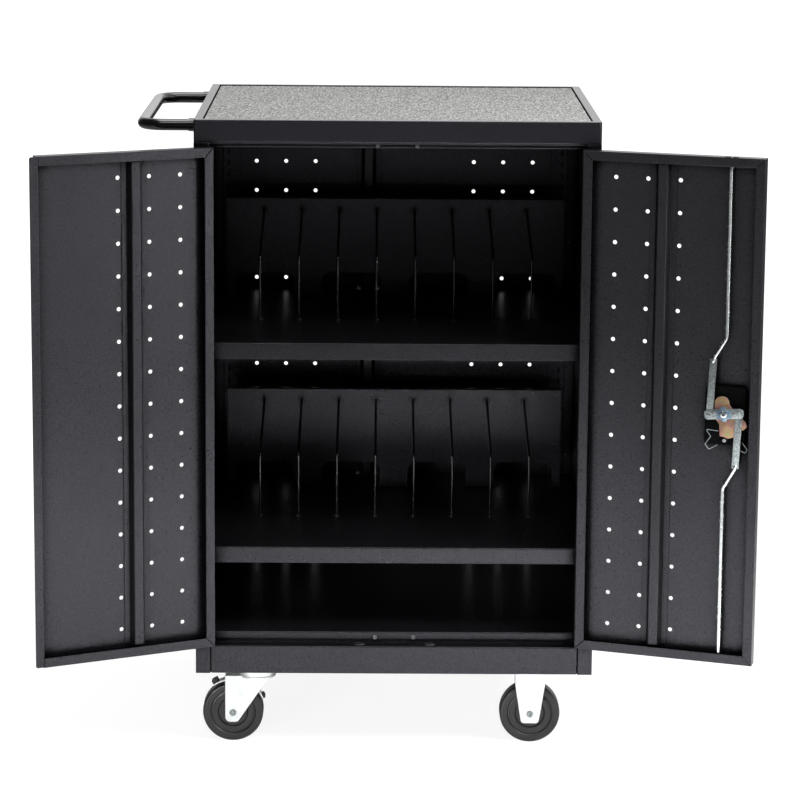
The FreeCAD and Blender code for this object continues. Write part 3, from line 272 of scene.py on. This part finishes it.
sharpAngle = 35  # degrees between faces, above which a new piece's edge stays sharp
sameSpot = 1e-6  # metres
noHole = 0.0001  # metres, inner radius of a turned piece that shows no hole


# Helpers for new pieces
def finishPiece(bm, name, body, slotName, nodes=(), material=None, place=None):
    if place is not None:
        bmesh.ops.transform(bm, matrix=place, verts=bm.verts)
    bmesh.ops.recalc_face_normals(bm, faces=bm.faces)
    mesh = bpy.data.meshes.new(name)
    bm.to_mesh(mesh)
    bm.free()
    mesh.shade_smooth()
    mesh.set_sharp_from_angle(angle=math.radians(sharpAngle))
    mesh.materials.append(material or finishes[slotName])
    piece = bpy.data.objects.new(name, mesh)
    bpy.context.scene.collection.objects.link(piece)
    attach(piece, body)
    for node in nodes:
        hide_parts(node)


def closedRing(bm, spots):
    verts = [bm.verts.new(spot) for spot in spots]
    edges = [bm.edges.new((verts[index], verts[(index + 1) % len(verts)])) for index in range(len(verts))]
    return verts, edges


# Full turn about Y of a profile given as (radius, distance along Y)
def spunAboutY(bm, profile, centre, steps):
    verts, edges = closedRing(bm, [Vector(centre) + Vector((radius, along, 0)) for radius, along in profile])
    bmesh.ops.spin(bm, geom=verts + edges, cent=centre, axis=(0, 1, 0), dvec=(0, 0, 0),
                   angle=math.radians(360), steps=steps, use_merge=True)


# Curved plate between two radii, swept about Y from one angle to another
def arcAboutY(bm, inner, outer, half, centre, angles, steps):
    start, end = (math.radians(angle) for angle in angles)
    corners = [(inner, -half), (outer, -half), (outer, half), (inner, half)]
    spots = [Vector((radius * math.cos(start), along, radius * math.sin(start))) for radius, along in corners]
    verts = [bm.verts.new(Vector(centre) + spot) for spot in spots]
    face = bm.faces.new(verts)
    bmesh.ops.spin(bm, geom=[face] + list(face.edges) + verts, cent=centre, axis=(0, -1, 0), dvec=(0, 0, 0),
                   angle=end - start, steps=steps, use_merge=False)


def roundEdges(bm, edges, width, segments):
    bmesh.ops.bevel(bm, geom=edges, offset=width, affect="EDGES", segments=segments, profile=0.5, material=-1,
                    clamp_overlap=True)


def edgesAlongY(bm):
    edges = []
    for edge in bm.edges:
        step = edge.verts[0].co - edge.verts[1].co
        if abs(step.x) + abs(step.z) < sameSpot:
            edges.append(edge)
    return edges


def edgesAtHeight(bm, y):
    return [edge for edge in bm.edges if all(abs(vert.co.y - y) < sameSpot for vert in edge.verts)]


# Flat plate from an outline of (x, z) points
def plate(outline, low, high):
    bm = bmesh.new()
    face = bm.faces.new([bm.verts.new((x, low, z)) for x, z in outline])
    grown = bmesh.ops.extrude_face_region(bm, geom=[face])
    moved = [item for item in grown["geom"] if isinstance(item, bmesh.types.BMVert)]
    bmesh.ops.translate(bm, verts=moved, vec=(0, high - low, 0))
    return bm


def rectangle(left, right, bottom, top):
    return [(left, bottom), (right, bottom), (right, top), (left, top)]


# Wheels: hard rubber with a raised hub, a dished web and a groove inside the tread. A point of the face is
# given as (radius, distance from the wheel's middle).
wheel = {"radius": 0.0508, "half": 0.016, "edgeRound": 0.0045, "roundSteps": 4, "steps": 96,
         "hub": [(0.0049, 0.017), (0.0104, 0.017), (0.0112, 0.0162), (0.0118, 0.0136)],
         "web": [(0.0237, 0.0136), (0.0249, 0.0150), (0.0258, 0.016)],
         "groove": [(0.0341, 0.016), (0.0347, 0.0146), (0.0367, 0.0140), (0.0379, 0.0152), (0.0387, 0.016)]}
# Rivet through the fork and wheel: a hollow head, given as (radius, rise from the fork)
rivet = {"shank": 0.0047, "forkHalf": 0.0205, "steps": 40,
         "head": [(noHole, 0.0004), (0.00216, 0.0004), (0.00288, 0.0014), (0.0045, 0.0020), (0.0057, 0.0013),
                  (0.0060, 0)]}
# Brake: a curved plate on a cross pin, with a toe pad at its high end and a small one at its low end
brake = {"inner": 0.0540, "outer": 0.0556, "half": 0.009, "angles": (22, 127), "steps": 32,
         "pinRadius": 0.0024, "pinHalf": 0.0212, "pinAhead": 0.030, "pinRise": 0.055, "pinSteps": 20,
         "toeOuter": 0.0620, "toeAngles": (116, 126), "heelOuter": 0.0590, "heelAngles": (23, 30),
         "padSteps": 6, "padRound": 0.0007}
caster = {"leftX": -0.2705, "rightX": 0.230, "y": 0.215}


def wheelProfile():
    radius, half, rounding = wheel["radius"], wheel["half"], wheel["edgeRound"]
    face = wheel["hub"] + wheel["web"] + wheel["groove"]
    for step in range(wheel["roundSteps"] + 1):
        turned = math.radians(90 * step / wheel["roundSteps"])
        face.append((radius - rounding + rounding * math.sin(turned),
                     half - rounding + rounding * math.cos(turned)))
    return face + [(reach, -along) for reach, along in reversed(face)]


def rivetProfile():
    fork, shank = rivet["forkHalf"], rivet["shank"]
    head = [(radius, fork + rise) for radius, rise in rivet["head"]]
    return head + [(shank, fork), (shank, -fork)] + [(radius, -along) for radius, along in reversed(head)]


def buildCasters():
    height = wheel["radius"]
    for end, side in (("front", -1), ("rear", 1)):
        y = side * caster["y"]
        left, right = (caster["leftX"], y, height), (caster["rightX"], y, height)
        for name, centre in (("left", left), ("right", right)):
            bm = bmesh.new()
            spunAboutY(bm, wheelProfile(), centre, wheel["steps"])
            wheelBody = name + "_" + end + "_wheel"
            finishPiece(bm, name + end.capitalize() + "Wheel", wheelBody, "wheel_rubber", [wheelBody])
        bm = bmesh.new()
        spunAboutY(bm, rivetProfile(), left, rivet["steps"])
        finishPiece(bm, end + "SwivelRivet", end + "_caster", "bright_zinc", [end + "_swivel_axle"])
        bm = bmesh.new()
        spunAboutY(bm, rivetProfile(), right, rivet["steps"])
        finishPiece(bm, end + "RigidRivet", "cabinet", "bright_zinc",
                    ["rigid_caster_axles"] if end == "front" else [])
        bm = bmesh.new()
        arcAboutY(bm, brake["inner"], brake["outer"], brake["half"], left, brake["angles"], brake["steps"])
        pinRadius, pinHalf = brake["pinRadius"], brake["pinHalf"]
        spunAboutY(bm, [(noHole, pinHalf), (pinRadius, pinHalf), (pinRadius, -pinHalf), (noHole, -pinHalf)],
                   (left[0] + brake["pinAhead"], y, height + brake["pinRise"]), brake["pinSteps"])
        finishPiece(bm, end + "BrakePlate", end + "_brake", "caster_zinc", [end + "_brake_pedal"])
        bm = bmesh.new()
        for pad in ("toe", "heel"):
            arcAboutY(bm, brake["outer"], brake[pad + "Outer"], brake["half"], left, brake[pad + "Angles"],
                      brake["padSteps"])
        roundEdges(bm, list(bm.edges), brake["padRound"], 2)
        finishPiece(bm, end + "BrakePads", end + "_brake", "black_plastic")


buildCasters()
print("casters built")

# Lock: its pieces are drawn with the door shut and then turned to the open place. Depths are measured inward
# from the door's outer face, so a low face lies nearer to the door than a high one.
lock = {"x": 0.0585, "z": 0.6013, "front": -0.279, "pivot": 0.02405, "tilt": 5.5}
lockCase = {"halfWidth": 0.033, "drop": 0.052, "rise": 0.0435, "foot": 0.0013, "depth": 0.0115,
            "coverStep": 0.0012, "coverRise": 0.0305, "corner": 0.004, "coverCorner": 0.003,
            "coverRound": 0.0008}
# Cam outline in shares of the pivot's distance, across and 1.5 times that down, with the lobes' bends
cam = {"low": 0.0139, "high": 0.0159, "corner": 0.0016, "faceRound": 0.0005, "downScale": 1.5,
       "outline": [(0.68, -0.21), (0.68, -0.55), (0.50, -0.71), (0.17, -0.78), (-0.14, -0.73), (-0.28, -0.57),
                   (-0.31, -0.41), (-0.55, -0.21), (-1.23, 0.22), (-1.44, 0.32), (-1.57, 0.53), (-1.31, 0.70),
                   (-1.18, 0.73), (-0.90, 0.59), (-0.73, 1.05), (-0.25, 1.14), (0, 1.07), (0.30, 1.05),
                   (0.34, 0.50), (0.64, 0.25)]}
crossbar = {"low": 0.0197, "high": 0.0217, "half": 0.0322, "halfWidth": 0.008, "corner": 0.0062,
            "faceRound": 0.0007, "rivetSteps": 20,
            "rivet": [(noHole, 0.0011), (0.0012, 0.0011), (0.0022, 0.0007), (0.0026, 0), (noHole, 0)]}
washer = {"half": 0.012, "tongueHalf": 0.0045, "height": 0.0012, "faceRound": 0.0004}
bolt = {"steps": 40, "centreSteps": 24,
        "head": [(noHole, 0.0012), (0.0021, 0.0012), (0.0026, 0.0028), (0.0044, 0.0028), (0.0056, 0.0020),
                 (0.0056, 0), (noHole, 0)],
        "centre": [(noHole, 0.0016), (0.0008, 0.0018), (0.0019, 0.0015), (0.0021, 0.0012),
                   (noHole, 0.0012)]}
caseScrew = {"drop": 0.0455, "bossSteps": 32, "steps": 24,
             "boss": [(0.0034, 0), (0.0036, 0.0012), (0.0052, 0.0016), (0.0064, 0.0010), (0.0066, 0)],
             "head": [(noHole, 0.0004), (0.0009, 0.0004), (0.0014, 0.0013), (0.0026, 0.0013),
                      (0.0032, 0.0006), (0.0032, 0), (noHole, 0)]}
rods = {"strapWidth": 0.0116, "strapLow": 0.0163, "strapHigh": 0.0193, "strapOver": 0.0058, "strapEnd": 0.0050,
        "strapRound": 0.0008, "bendAcross": 0.0199, "bendAlong": 0.0889, "jogAlong": 0.124, "jogShort": 0.0004,
        "depth": 0.014, "radius": 0.0035, "bend": 0.014, "intoStrap": 0.0020, "taper": 0.016, "tipShare": 0.69,
        "upperTip": 1.0182, "lowerTip": 0.2}


def openPlace(jointName):
    joint = next(row for row in frame["record"]["behaviour"]["joints"] if row["name"] == jointName)
    pivot = Vector(joint["pos_m"])
    turned = Matrix.Rotation(-joint["axis"][2] * math.radians(joint["range_deg"][1]), 4, "Z")
    return Matrix.Translation(pivot) @ turned @ Matrix.Translation(-pivot)


# Case: a shallow step above a line, the full depth below it
def buildLockCase(place):
    x, z, front, half = lock["x"], lock["z"], lock["front"], lockCase["halfWidth"]
    bottom, top, line = z - lockCase["drop"], z + lockCase["rise"], z + lockCase["coverRise"]
    deep = front + lockCase["depth"]
    step = deep - lockCase["coverStep"]
    bm = plate(rectangle(x - half, x + half, bottom, top), front + lockCase["foot"], step)
    roundEdges(bm, edgesAlongY(bm), lockCase["corner"], 4)
    finishPiece(bm, "lockCaseBase", "right_door", "black_coat", ["lock_housing"], special["lockCase"], place)
    bm = plate(rectangle(x - half, x + half, bottom, line), step, deep)
    roundEdges(bm, edgesAlongY(bm), lockCase["coverCorner"], 3)
    roundEdges(bm, edgesAtHeight(bm, deep), lockCase["coverRound"], 2)
    finishPiece(bm, "lockCaseCover", "right_door", "black_coat", [], special["lockCase"], place)


# Cam: stamped plate with rounded lobes
def buildCam(place):
    across, down = lock["pivot"], lock["pivot"] * cam["downScale"]
    outline = [(lock["x"] + acrossShare * across, lock["z"] - downShare * down)
               for acrossShare, downShare in cam["outline"]]
    high = lock["front"] + cam["high"]
    bm = plate(outline, lock["front"] + cam["low"], high)
    roundEdges(bm, edgesAlongY(bm), cam["corner"], 3)
    roundEdges(bm, edgesAtHeight(bm, high), cam["faceRound"], 2)
    finishPiece(bm, "lockCam", "lock", "yellow_zinc", ["lock_cam"], None, place)


# Crossbar with a rivet at each end
def buildCrossbar(tilted):
    x, z, half, wide = lock["x"], lock["z"], crossbar["half"], crossbar["halfWidth"]
    high = lock["front"] + crossbar["high"]
    bm = plate(rectangle(x - half, x + half, z - wide, z + wide), lock["front"] + crossbar["low"], high)
    roundEdges(bm, edgesAlongY(bm), crossbar["corner"], 6)
    roundEdges(bm, edgesAtHeight(bm, high), crossbar["faceRound"], 3)
    for side in (-1, 1):
        spunAboutY(bm, crossbar["rivet"], (x + side * lock["pivot"], high, z), crossbar["rivetSteps"])
    finishPiece(bm, "lockCrossbar", "lock", "bright_zinc", ["lock_crossbar"], None, tilted)


# Square washer with two tongues under a round bolt
def buildBolt(place, tilted):
    x, z, half, tongue, wide = lock["x"], lock["z"], washer["half"], washer["tongueHalf"], crossbar["halfWidth"]
    low = lock["front"] + crossbar["high"]
    high = low + washer["height"]
    outline = [(x - half, z - wide), (x - tongue, z - wide), (x - tongue, z - half), (x + tongue, z - half),
               (x + tongue, z - wide), (x + half, z - wide), (x + half, z + wide), (x + tongue, z + wide),
               (x + tongue, z + half), (x - tongue, z + half), (x - tongue, z + wide), (x - half, z + wide)]
    bm = plate(outline, low, high)
    roundEdges(bm, edgesAtHeight(bm, high), washer["faceRound"], 2)
    finishPiece(bm, "squareWasher", "lock", "bright_zinc", ["lock_bolt"], special["blueWasher"], tilted)
    bm = bmesh.new()
    spunAboutY(bm, bolt["head"], (x, high, z), bolt["steps"])
    finishPiece(bm, "lockBolt", "lock", "bright_zinc", [], special["polishedRod"], place)
    bm = bmesh.new()
    spunAboutY(bm, bolt["centre"], (x, high, z), bolt["centreSteps"])
    finishPiece(bm, "boltCentre", "lock", "dark_steel", [], None, place)


# Screw in a pressed boss at the foot of the case
def buildCaseScrew(place):
    centre = (lock["x"], lock["front"] + lockCase["depth"], lock["z"] - caseScrew["drop"])
    bm = bmesh.new()
    spunAboutY(bm, caseScrew["boss"], centre, caseScrew["bossSteps"])
    finishPiece(bm, "screwBoss", "right_door", "black_coat", [], special["lockCase"], place)
    bm = bmesh.new()
    spunAboutY(bm, caseScrew["head"], centre, caseScrew["steps"])
    finishPiece(bm, "caseScrew", "right_door", "bright_zinc", [], special["polishedRod"], place)


# Round rod along a path whose corners are bent to one radius, tapered at its far end
def bentRod(name, body, path, place):
    bend = rods["bend"]
    knots = [(path[0], path[0], path[0], 1.0)]
    for before, corner, after in zip(path, path[1:], path[2:]):
        arriving, leaving = (corner - before).normalized(), (after - corner).normalized()
        angle = arriving.angle(leaving)
        tangent = bend * math.tan(angle / 2)
        handle = bend * 4 / 3 * math.tan(angle / 4)
        start, end = corner - arriving * tangent, corner + leaving * tangent
        knots.append((start, start - arriving * handle, start + arriving * handle, 1.0))
        knots.append((end, end - leaving * handle, end + leaving * handle, 1.0))
    along = (path[-1] - path[-2]).normalized()
    shoulder = path[-1] - along * rods["taper"]
    knots.append((shoulder, shoulder, shoulder, 1.0))
    knots.append((path[-1], path[-1], path[-1], rods["tipShare"]))
    curve = bpy.data.curves.new(name, "CURVE")
    curve.dimensions = "3D"
    curve.bevel_depth = rods["radius"]
    curve.bevel_resolution = 5
    curve.resolution_u = 8
    curve.use_fill_caps = True
    spline = curve.splines.new("BEZIER")
    spline.bezier_points.add(len(knots) - 1)
    for knot, (spot, left, right, share) in zip(spline.bezier_points, knots):
        knot.handle_left_type = knot.handle_right_type = "FREE"
        knot.co, knot.handle_left, knot.handle_right = place @ spot, place @ left, place @ right
        knot.radius = share
    curve.materials.append(special["polishedRod"])
    piece = bpy.data.objects.new(name, curve)
    bpy.context.scene.collection.objects.link(piece)
    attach(piece, body)


# Lock rods: a flat strap from the crossbar, then a round rod that jogs back in line with the lock
def buildRods(place):
    x, z, front = lock["x"], lock["z"], lock["front"]
    low, high = front + rods["strapLow"], front + rods["strapHigh"]
    middle, deep = front + (rods["strapLow"] + rods["strapHigh"]) / 2, front + rods["depth"]
    for name, side, tip in (("upper", 1, rods["upperTip"]), ("lower", -1, rods["lowerTip"])):
        pivot = Vector((x + side * lock["pivot"], 0, z))
        bend = Vector((x + side * rods["bendAcross"], 0, z + side * rods["bendAlong"]))
        along = (bend - pivot).normalized()
        beside = Vector((along.z, 0, -along.x)) * rods["strapWidth"] / 2
        over = along * rods["strapOver"]
        corners = [pivot + beside - over, pivot - beside - over, bend - beside, bend + beside]
        bm = plate([(corner.x, corner.z) for corner in corners], low, high)
        halfWay = rods["bendAlong"] / 2
        nearEnd = [edge for edge in edgesAlongY(bm) if abs(edge.verts[0].co.z - z) < halfWay]
        roundEdges(bm, nearEnd, rods["strapEnd"], 5)
        roundEdges(bm, edgesAtHeight(bm, high), rods["strapRound"], 3)
        finishPiece(bm, name + "Strap", name + "_rod", "bright_zinc", [name + "_lock_rod"], None, place)
        path = [(bend - along * rods["intoStrap"]) + Vector((0, middle, 0)), bend + Vector((0, middle, 0)),
                Vector((x - side * rods["jogShort"], deep, z + side * rods["jogAlong"])),
                Vector((x, deep, tip))]
        bentRod(name + "Rod", name + "_rod", path, place)


def buildLock():
    place = openPlace("right_door_hinge")
    axis = Matrix.Translation((lock["x"], 0, lock["z"]))
    tilted = place @ axis @ Matrix.Rotation(math.radians(lock["tilt"]), 4, "Y") @ axis.inverted()
    buildLockCase(place)
    buildCam(place)
    buildCrossbar(tilted)
    buildBolt(place, tilted)
    buildCaseScrew(place)
    buildRods(place)


buildLock()
print("lock built")

# Grommets: black plastic rims in the sill's two oval rod slots. Their raised rims also hide the floor seen
# through the slots, a dark piece standing in for the shade under the sill as painted shade. A point of the
# profile is given as (radius, rise from the sill).
grommet = {"x": 0.0585, "y": -0.265, "top": 0.1808, "stretch": 0.0025, "steps": 36, "startAngle": 5,
           "profile": [(0.0040, 0.0015), (0.0048, 0.0020), (0.0062, 0.0020), (0.0076, 0.0004), (0.0076, 0),
                       (0.0052, 0), (0.0052, -0.0030), (0.0040, -0.0030)]}


def buildGrommets():
    bm = bmesh.new()
    for side in (-1, 1):
        centre = Vector((side * grommet["x"], grommet["y"], grommet["top"]))
        spots = [centre + Vector((0, radius, rise)) for radius, rise in grommet["profile"]]
        verts, edges = closedRing(bm, spots)
        # The start is turned a little, so that no row of points lies on the line where the ring is drawn out
        bmesh.ops.rotate(bm, cent=centre, verts=verts,
                         matrix=Matrix.Rotation(math.radians(grommet["startAngle"]), 3, "Z"))
        bmesh.ops.spin(bm, geom=verts + edges, cent=centre, axis=(0, 0, 1), dvec=(0, 0, 0),
                       angle=math.radians(360), steps=grommet["steps"], use_merge=True)
        for half in (-1, 1):
            beside = [vert for vert in bm.verts if side * vert.co.x > 0 and half * (vert.co.x - centre.x) > 0]
            bmesh.ops.translate(bm, verts=beside, vec=(half * grommet["stretch"], 0, 0))
    finishPiece(bm, "rodGrommetsForSlotShade", "cabinet", "black_plastic")


buildGrommets()
print("grommets built")

# Studio: a pale floor that shows nearly white to the camera, a world that glows on its bright side for
# reflections, and lamps that light the cart and the floor in front of it, which the black coat mirrors. Powers
# are in watts.
studio = {"floorSize": 80.0, "floorHex": "f4f4f4", "nearShare": 0.75, "nearFloor": 0.9, "farFloor": 2.5,
          "showStrength": 1.2, "worldStrength": 0.06, "brightSide": (0.8, 0.6, 0), "glowStart": -0.1,
          "glowFull": 0.6, "dimGlow": 0.05}
lamps = {
    "keyLight": {"place": (4.6, -4.6, 2.4), "target": (4.6, -4.4, 0), "size": (1.6, 1.6), "power": 185.0,
                 "spread": 70},
    "fillLight": {"place": (-3.4, -6.2, 2.4), "target": (-3.4, -6.2, 0), "size": (2.0, 2.0), "power": 60.0,
                  "spread": 90},
    "topLight": {"place": (0.0, 0.4, 4.2), "target": (0, 0, 0.6), "size": (2.6, 2.6), "power": 26.5,
                 "spread": 90},
    "frontLight": {"place": (1.5, -1.0, 1.7), "target": (0.7, -0.7, 0), "size": (1.0, 0.6), "power": 23.0,
                   "spread": 95},
    "nearLight": {"place": (0.2, -1.7, 1.6), "target": (0.2, -1.7, 0), "size": (0.4, 0.4), "power": 6.3,
                  "spread": 55},
    "farLight": {"place": (0.0, -9.0, 2.4), "target": (0, -9.0, 0), "size": (3.0, 1.6), "power": 30.0,
                 "spread": 100},
    "forkLight": {"place": (-1.3, -2.6, 0.45), "target": (-0.02, -0.2, 0.08), "size": (0.5, 0.3), "power": 1.0,
                  "spread": 25},
    "overheadStrip": {"place": (0.0, -1.7, 3.0), "target": (0, -0.3, 0.7), "size": (2.4, 0.4), "power": 20.0,
                      "spread": 180},
    "stripLight": {"place": (2.7, -1.3, 0.9), "target": (0, -0.3, 0.7), "size": (0.25, 1.9), "power": 10.0,
                   "spread": 180},
}
white = (1, 1, 1, 1)


# Mixes two shaders by a factor and ends a material or world with the result
def endWithMix(tree, factor, first, second, outputKind):
    mix = addNode(tree, "ShaderNodeMixShader", links={0: factor, 1: first.outputs[0], 2: second.outputs[0]})
    addNode(tree, outputKind, links={"Surface": mix.outputs[0]})


def buildFloor():
    bm = bmesh.new()
    bmesh.ops.create_grid(bm, x_segments=1, y_segments=1, size=studio["floorSize"] / 2)
    mesh = bpy.data.meshes.new("floor")
    bm.to_mesh(mesh)
    bm.free()
    floor = bpy.data.objects.new("floor", mesh)
    bpy.context.scene.collection.objects.link(floor)
    material, tree, place = startMaterial("paleFloor")
    rays = addNode(tree, "ShaderNodeLightPath")
    diffuse = addNode(tree, "ShaderNodeBsdfDiffuse", {"Color": linear(studio["floorHex"])})
    shown = addNode(tree, "ShaderNodeEmission", {"Color": white, "Strength": studio["showStrength"]})
    away = addNode(tree, "ShaderNodeVectorMath", {"operation": "LENGTH"}, {0: place}).outputs["Value"]
    shade = addNode(tree, "ShaderNodeMapRange",
                    {"From Min": studio["nearFloor"], "From Max": studio["farFloor"],
                     "To Min": studio["nearShare"], "To Max": 1.0}, {"Value": away}).outputs["Result"]
    share = addNode(tree, "ShaderNodeMath", {"operation": "MULTIPLY"},
                    {0: rays.outputs["Is Camera Ray"], 1: shade}).outputs["Value"]
    endWithMix(tree, share, diffuse, shown, "ShaderNodeOutputMaterial")
    floor.data.materials.append(material)


def buildWorld():
    world = bpy.data.worlds.new("studio")
    bpy.context.scene.world = world
    world.use_nodes = True
    tree = world.node_tree
    tree.nodes.clear()
    rays = addNode(tree, "ShaderNodeLightPath")
    shown = addNode(tree, "ShaderNodeMath", {"operation": "MAXIMUM"},
                    {0: rays.outputs["Is Camera Ray"], 1: rays.outputs["Is Glossy Ray"]}).outputs["Value"]
    dim = addNode(tree, "ShaderNodeBackground", {"Color": white, "Strength": studio["worldStrength"]})
    direction = addNode(tree, "ShaderNodeTexCoord").outputs["Generated"]
    toward = addNode(tree, "ShaderNodeVectorMath", {"operation": "DOT_PRODUCT"}, {0: direction})
    toward.inputs[1].default_value = studio["brightSide"]
    glow = addNode(tree, "ShaderNodeMapRange",
                   {"From Min": studio["glowStart"], "From Max": studio["glowFull"],
                    "To Min": studio["dimGlow"], "To Max": 1.0},
                   {"Value": toward.outputs["Value"]}).outputs["Result"]
    seen = addNode(tree, "ShaderNodeMath", {"operation": "MAXIMUM"},
                   {0: rays.outputs["Is Camera Ray"], 1: glow}).outputs["Value"]
    full = addNode(tree, "ShaderNodeBackground", {"Color": white}, {"Strength": seen})
    endWithMix(tree, shown, dim, full, "ShaderNodeOutputWorld")


def hangLamps():
    for name, lamp in lamps.items():
        data = bpy.data.lights.new(name, "AREA")
        data.spread = math.radians(lamp["spread"])
        data.shape = "RECTANGLE"
        data.size, data.size_y = lamp["size"]
        data.energy = lamp["power"]
        softbox = bpy.data.objects.new(name, data)
        softbox.location = lamp["place"]
        aim = Vector(lamp["target"]) - Vector(lamp["place"])
        softbox.rotation_euler = aim.to_track_quat("-Z", "Y").to_euler()
        bpy.context.scene.collection.objects.link(softbox)


buildFloor()
buildWorld()
hangLamps()
bpy.context.scene.view_settings.view_transform = "Standard"
print("studio built")
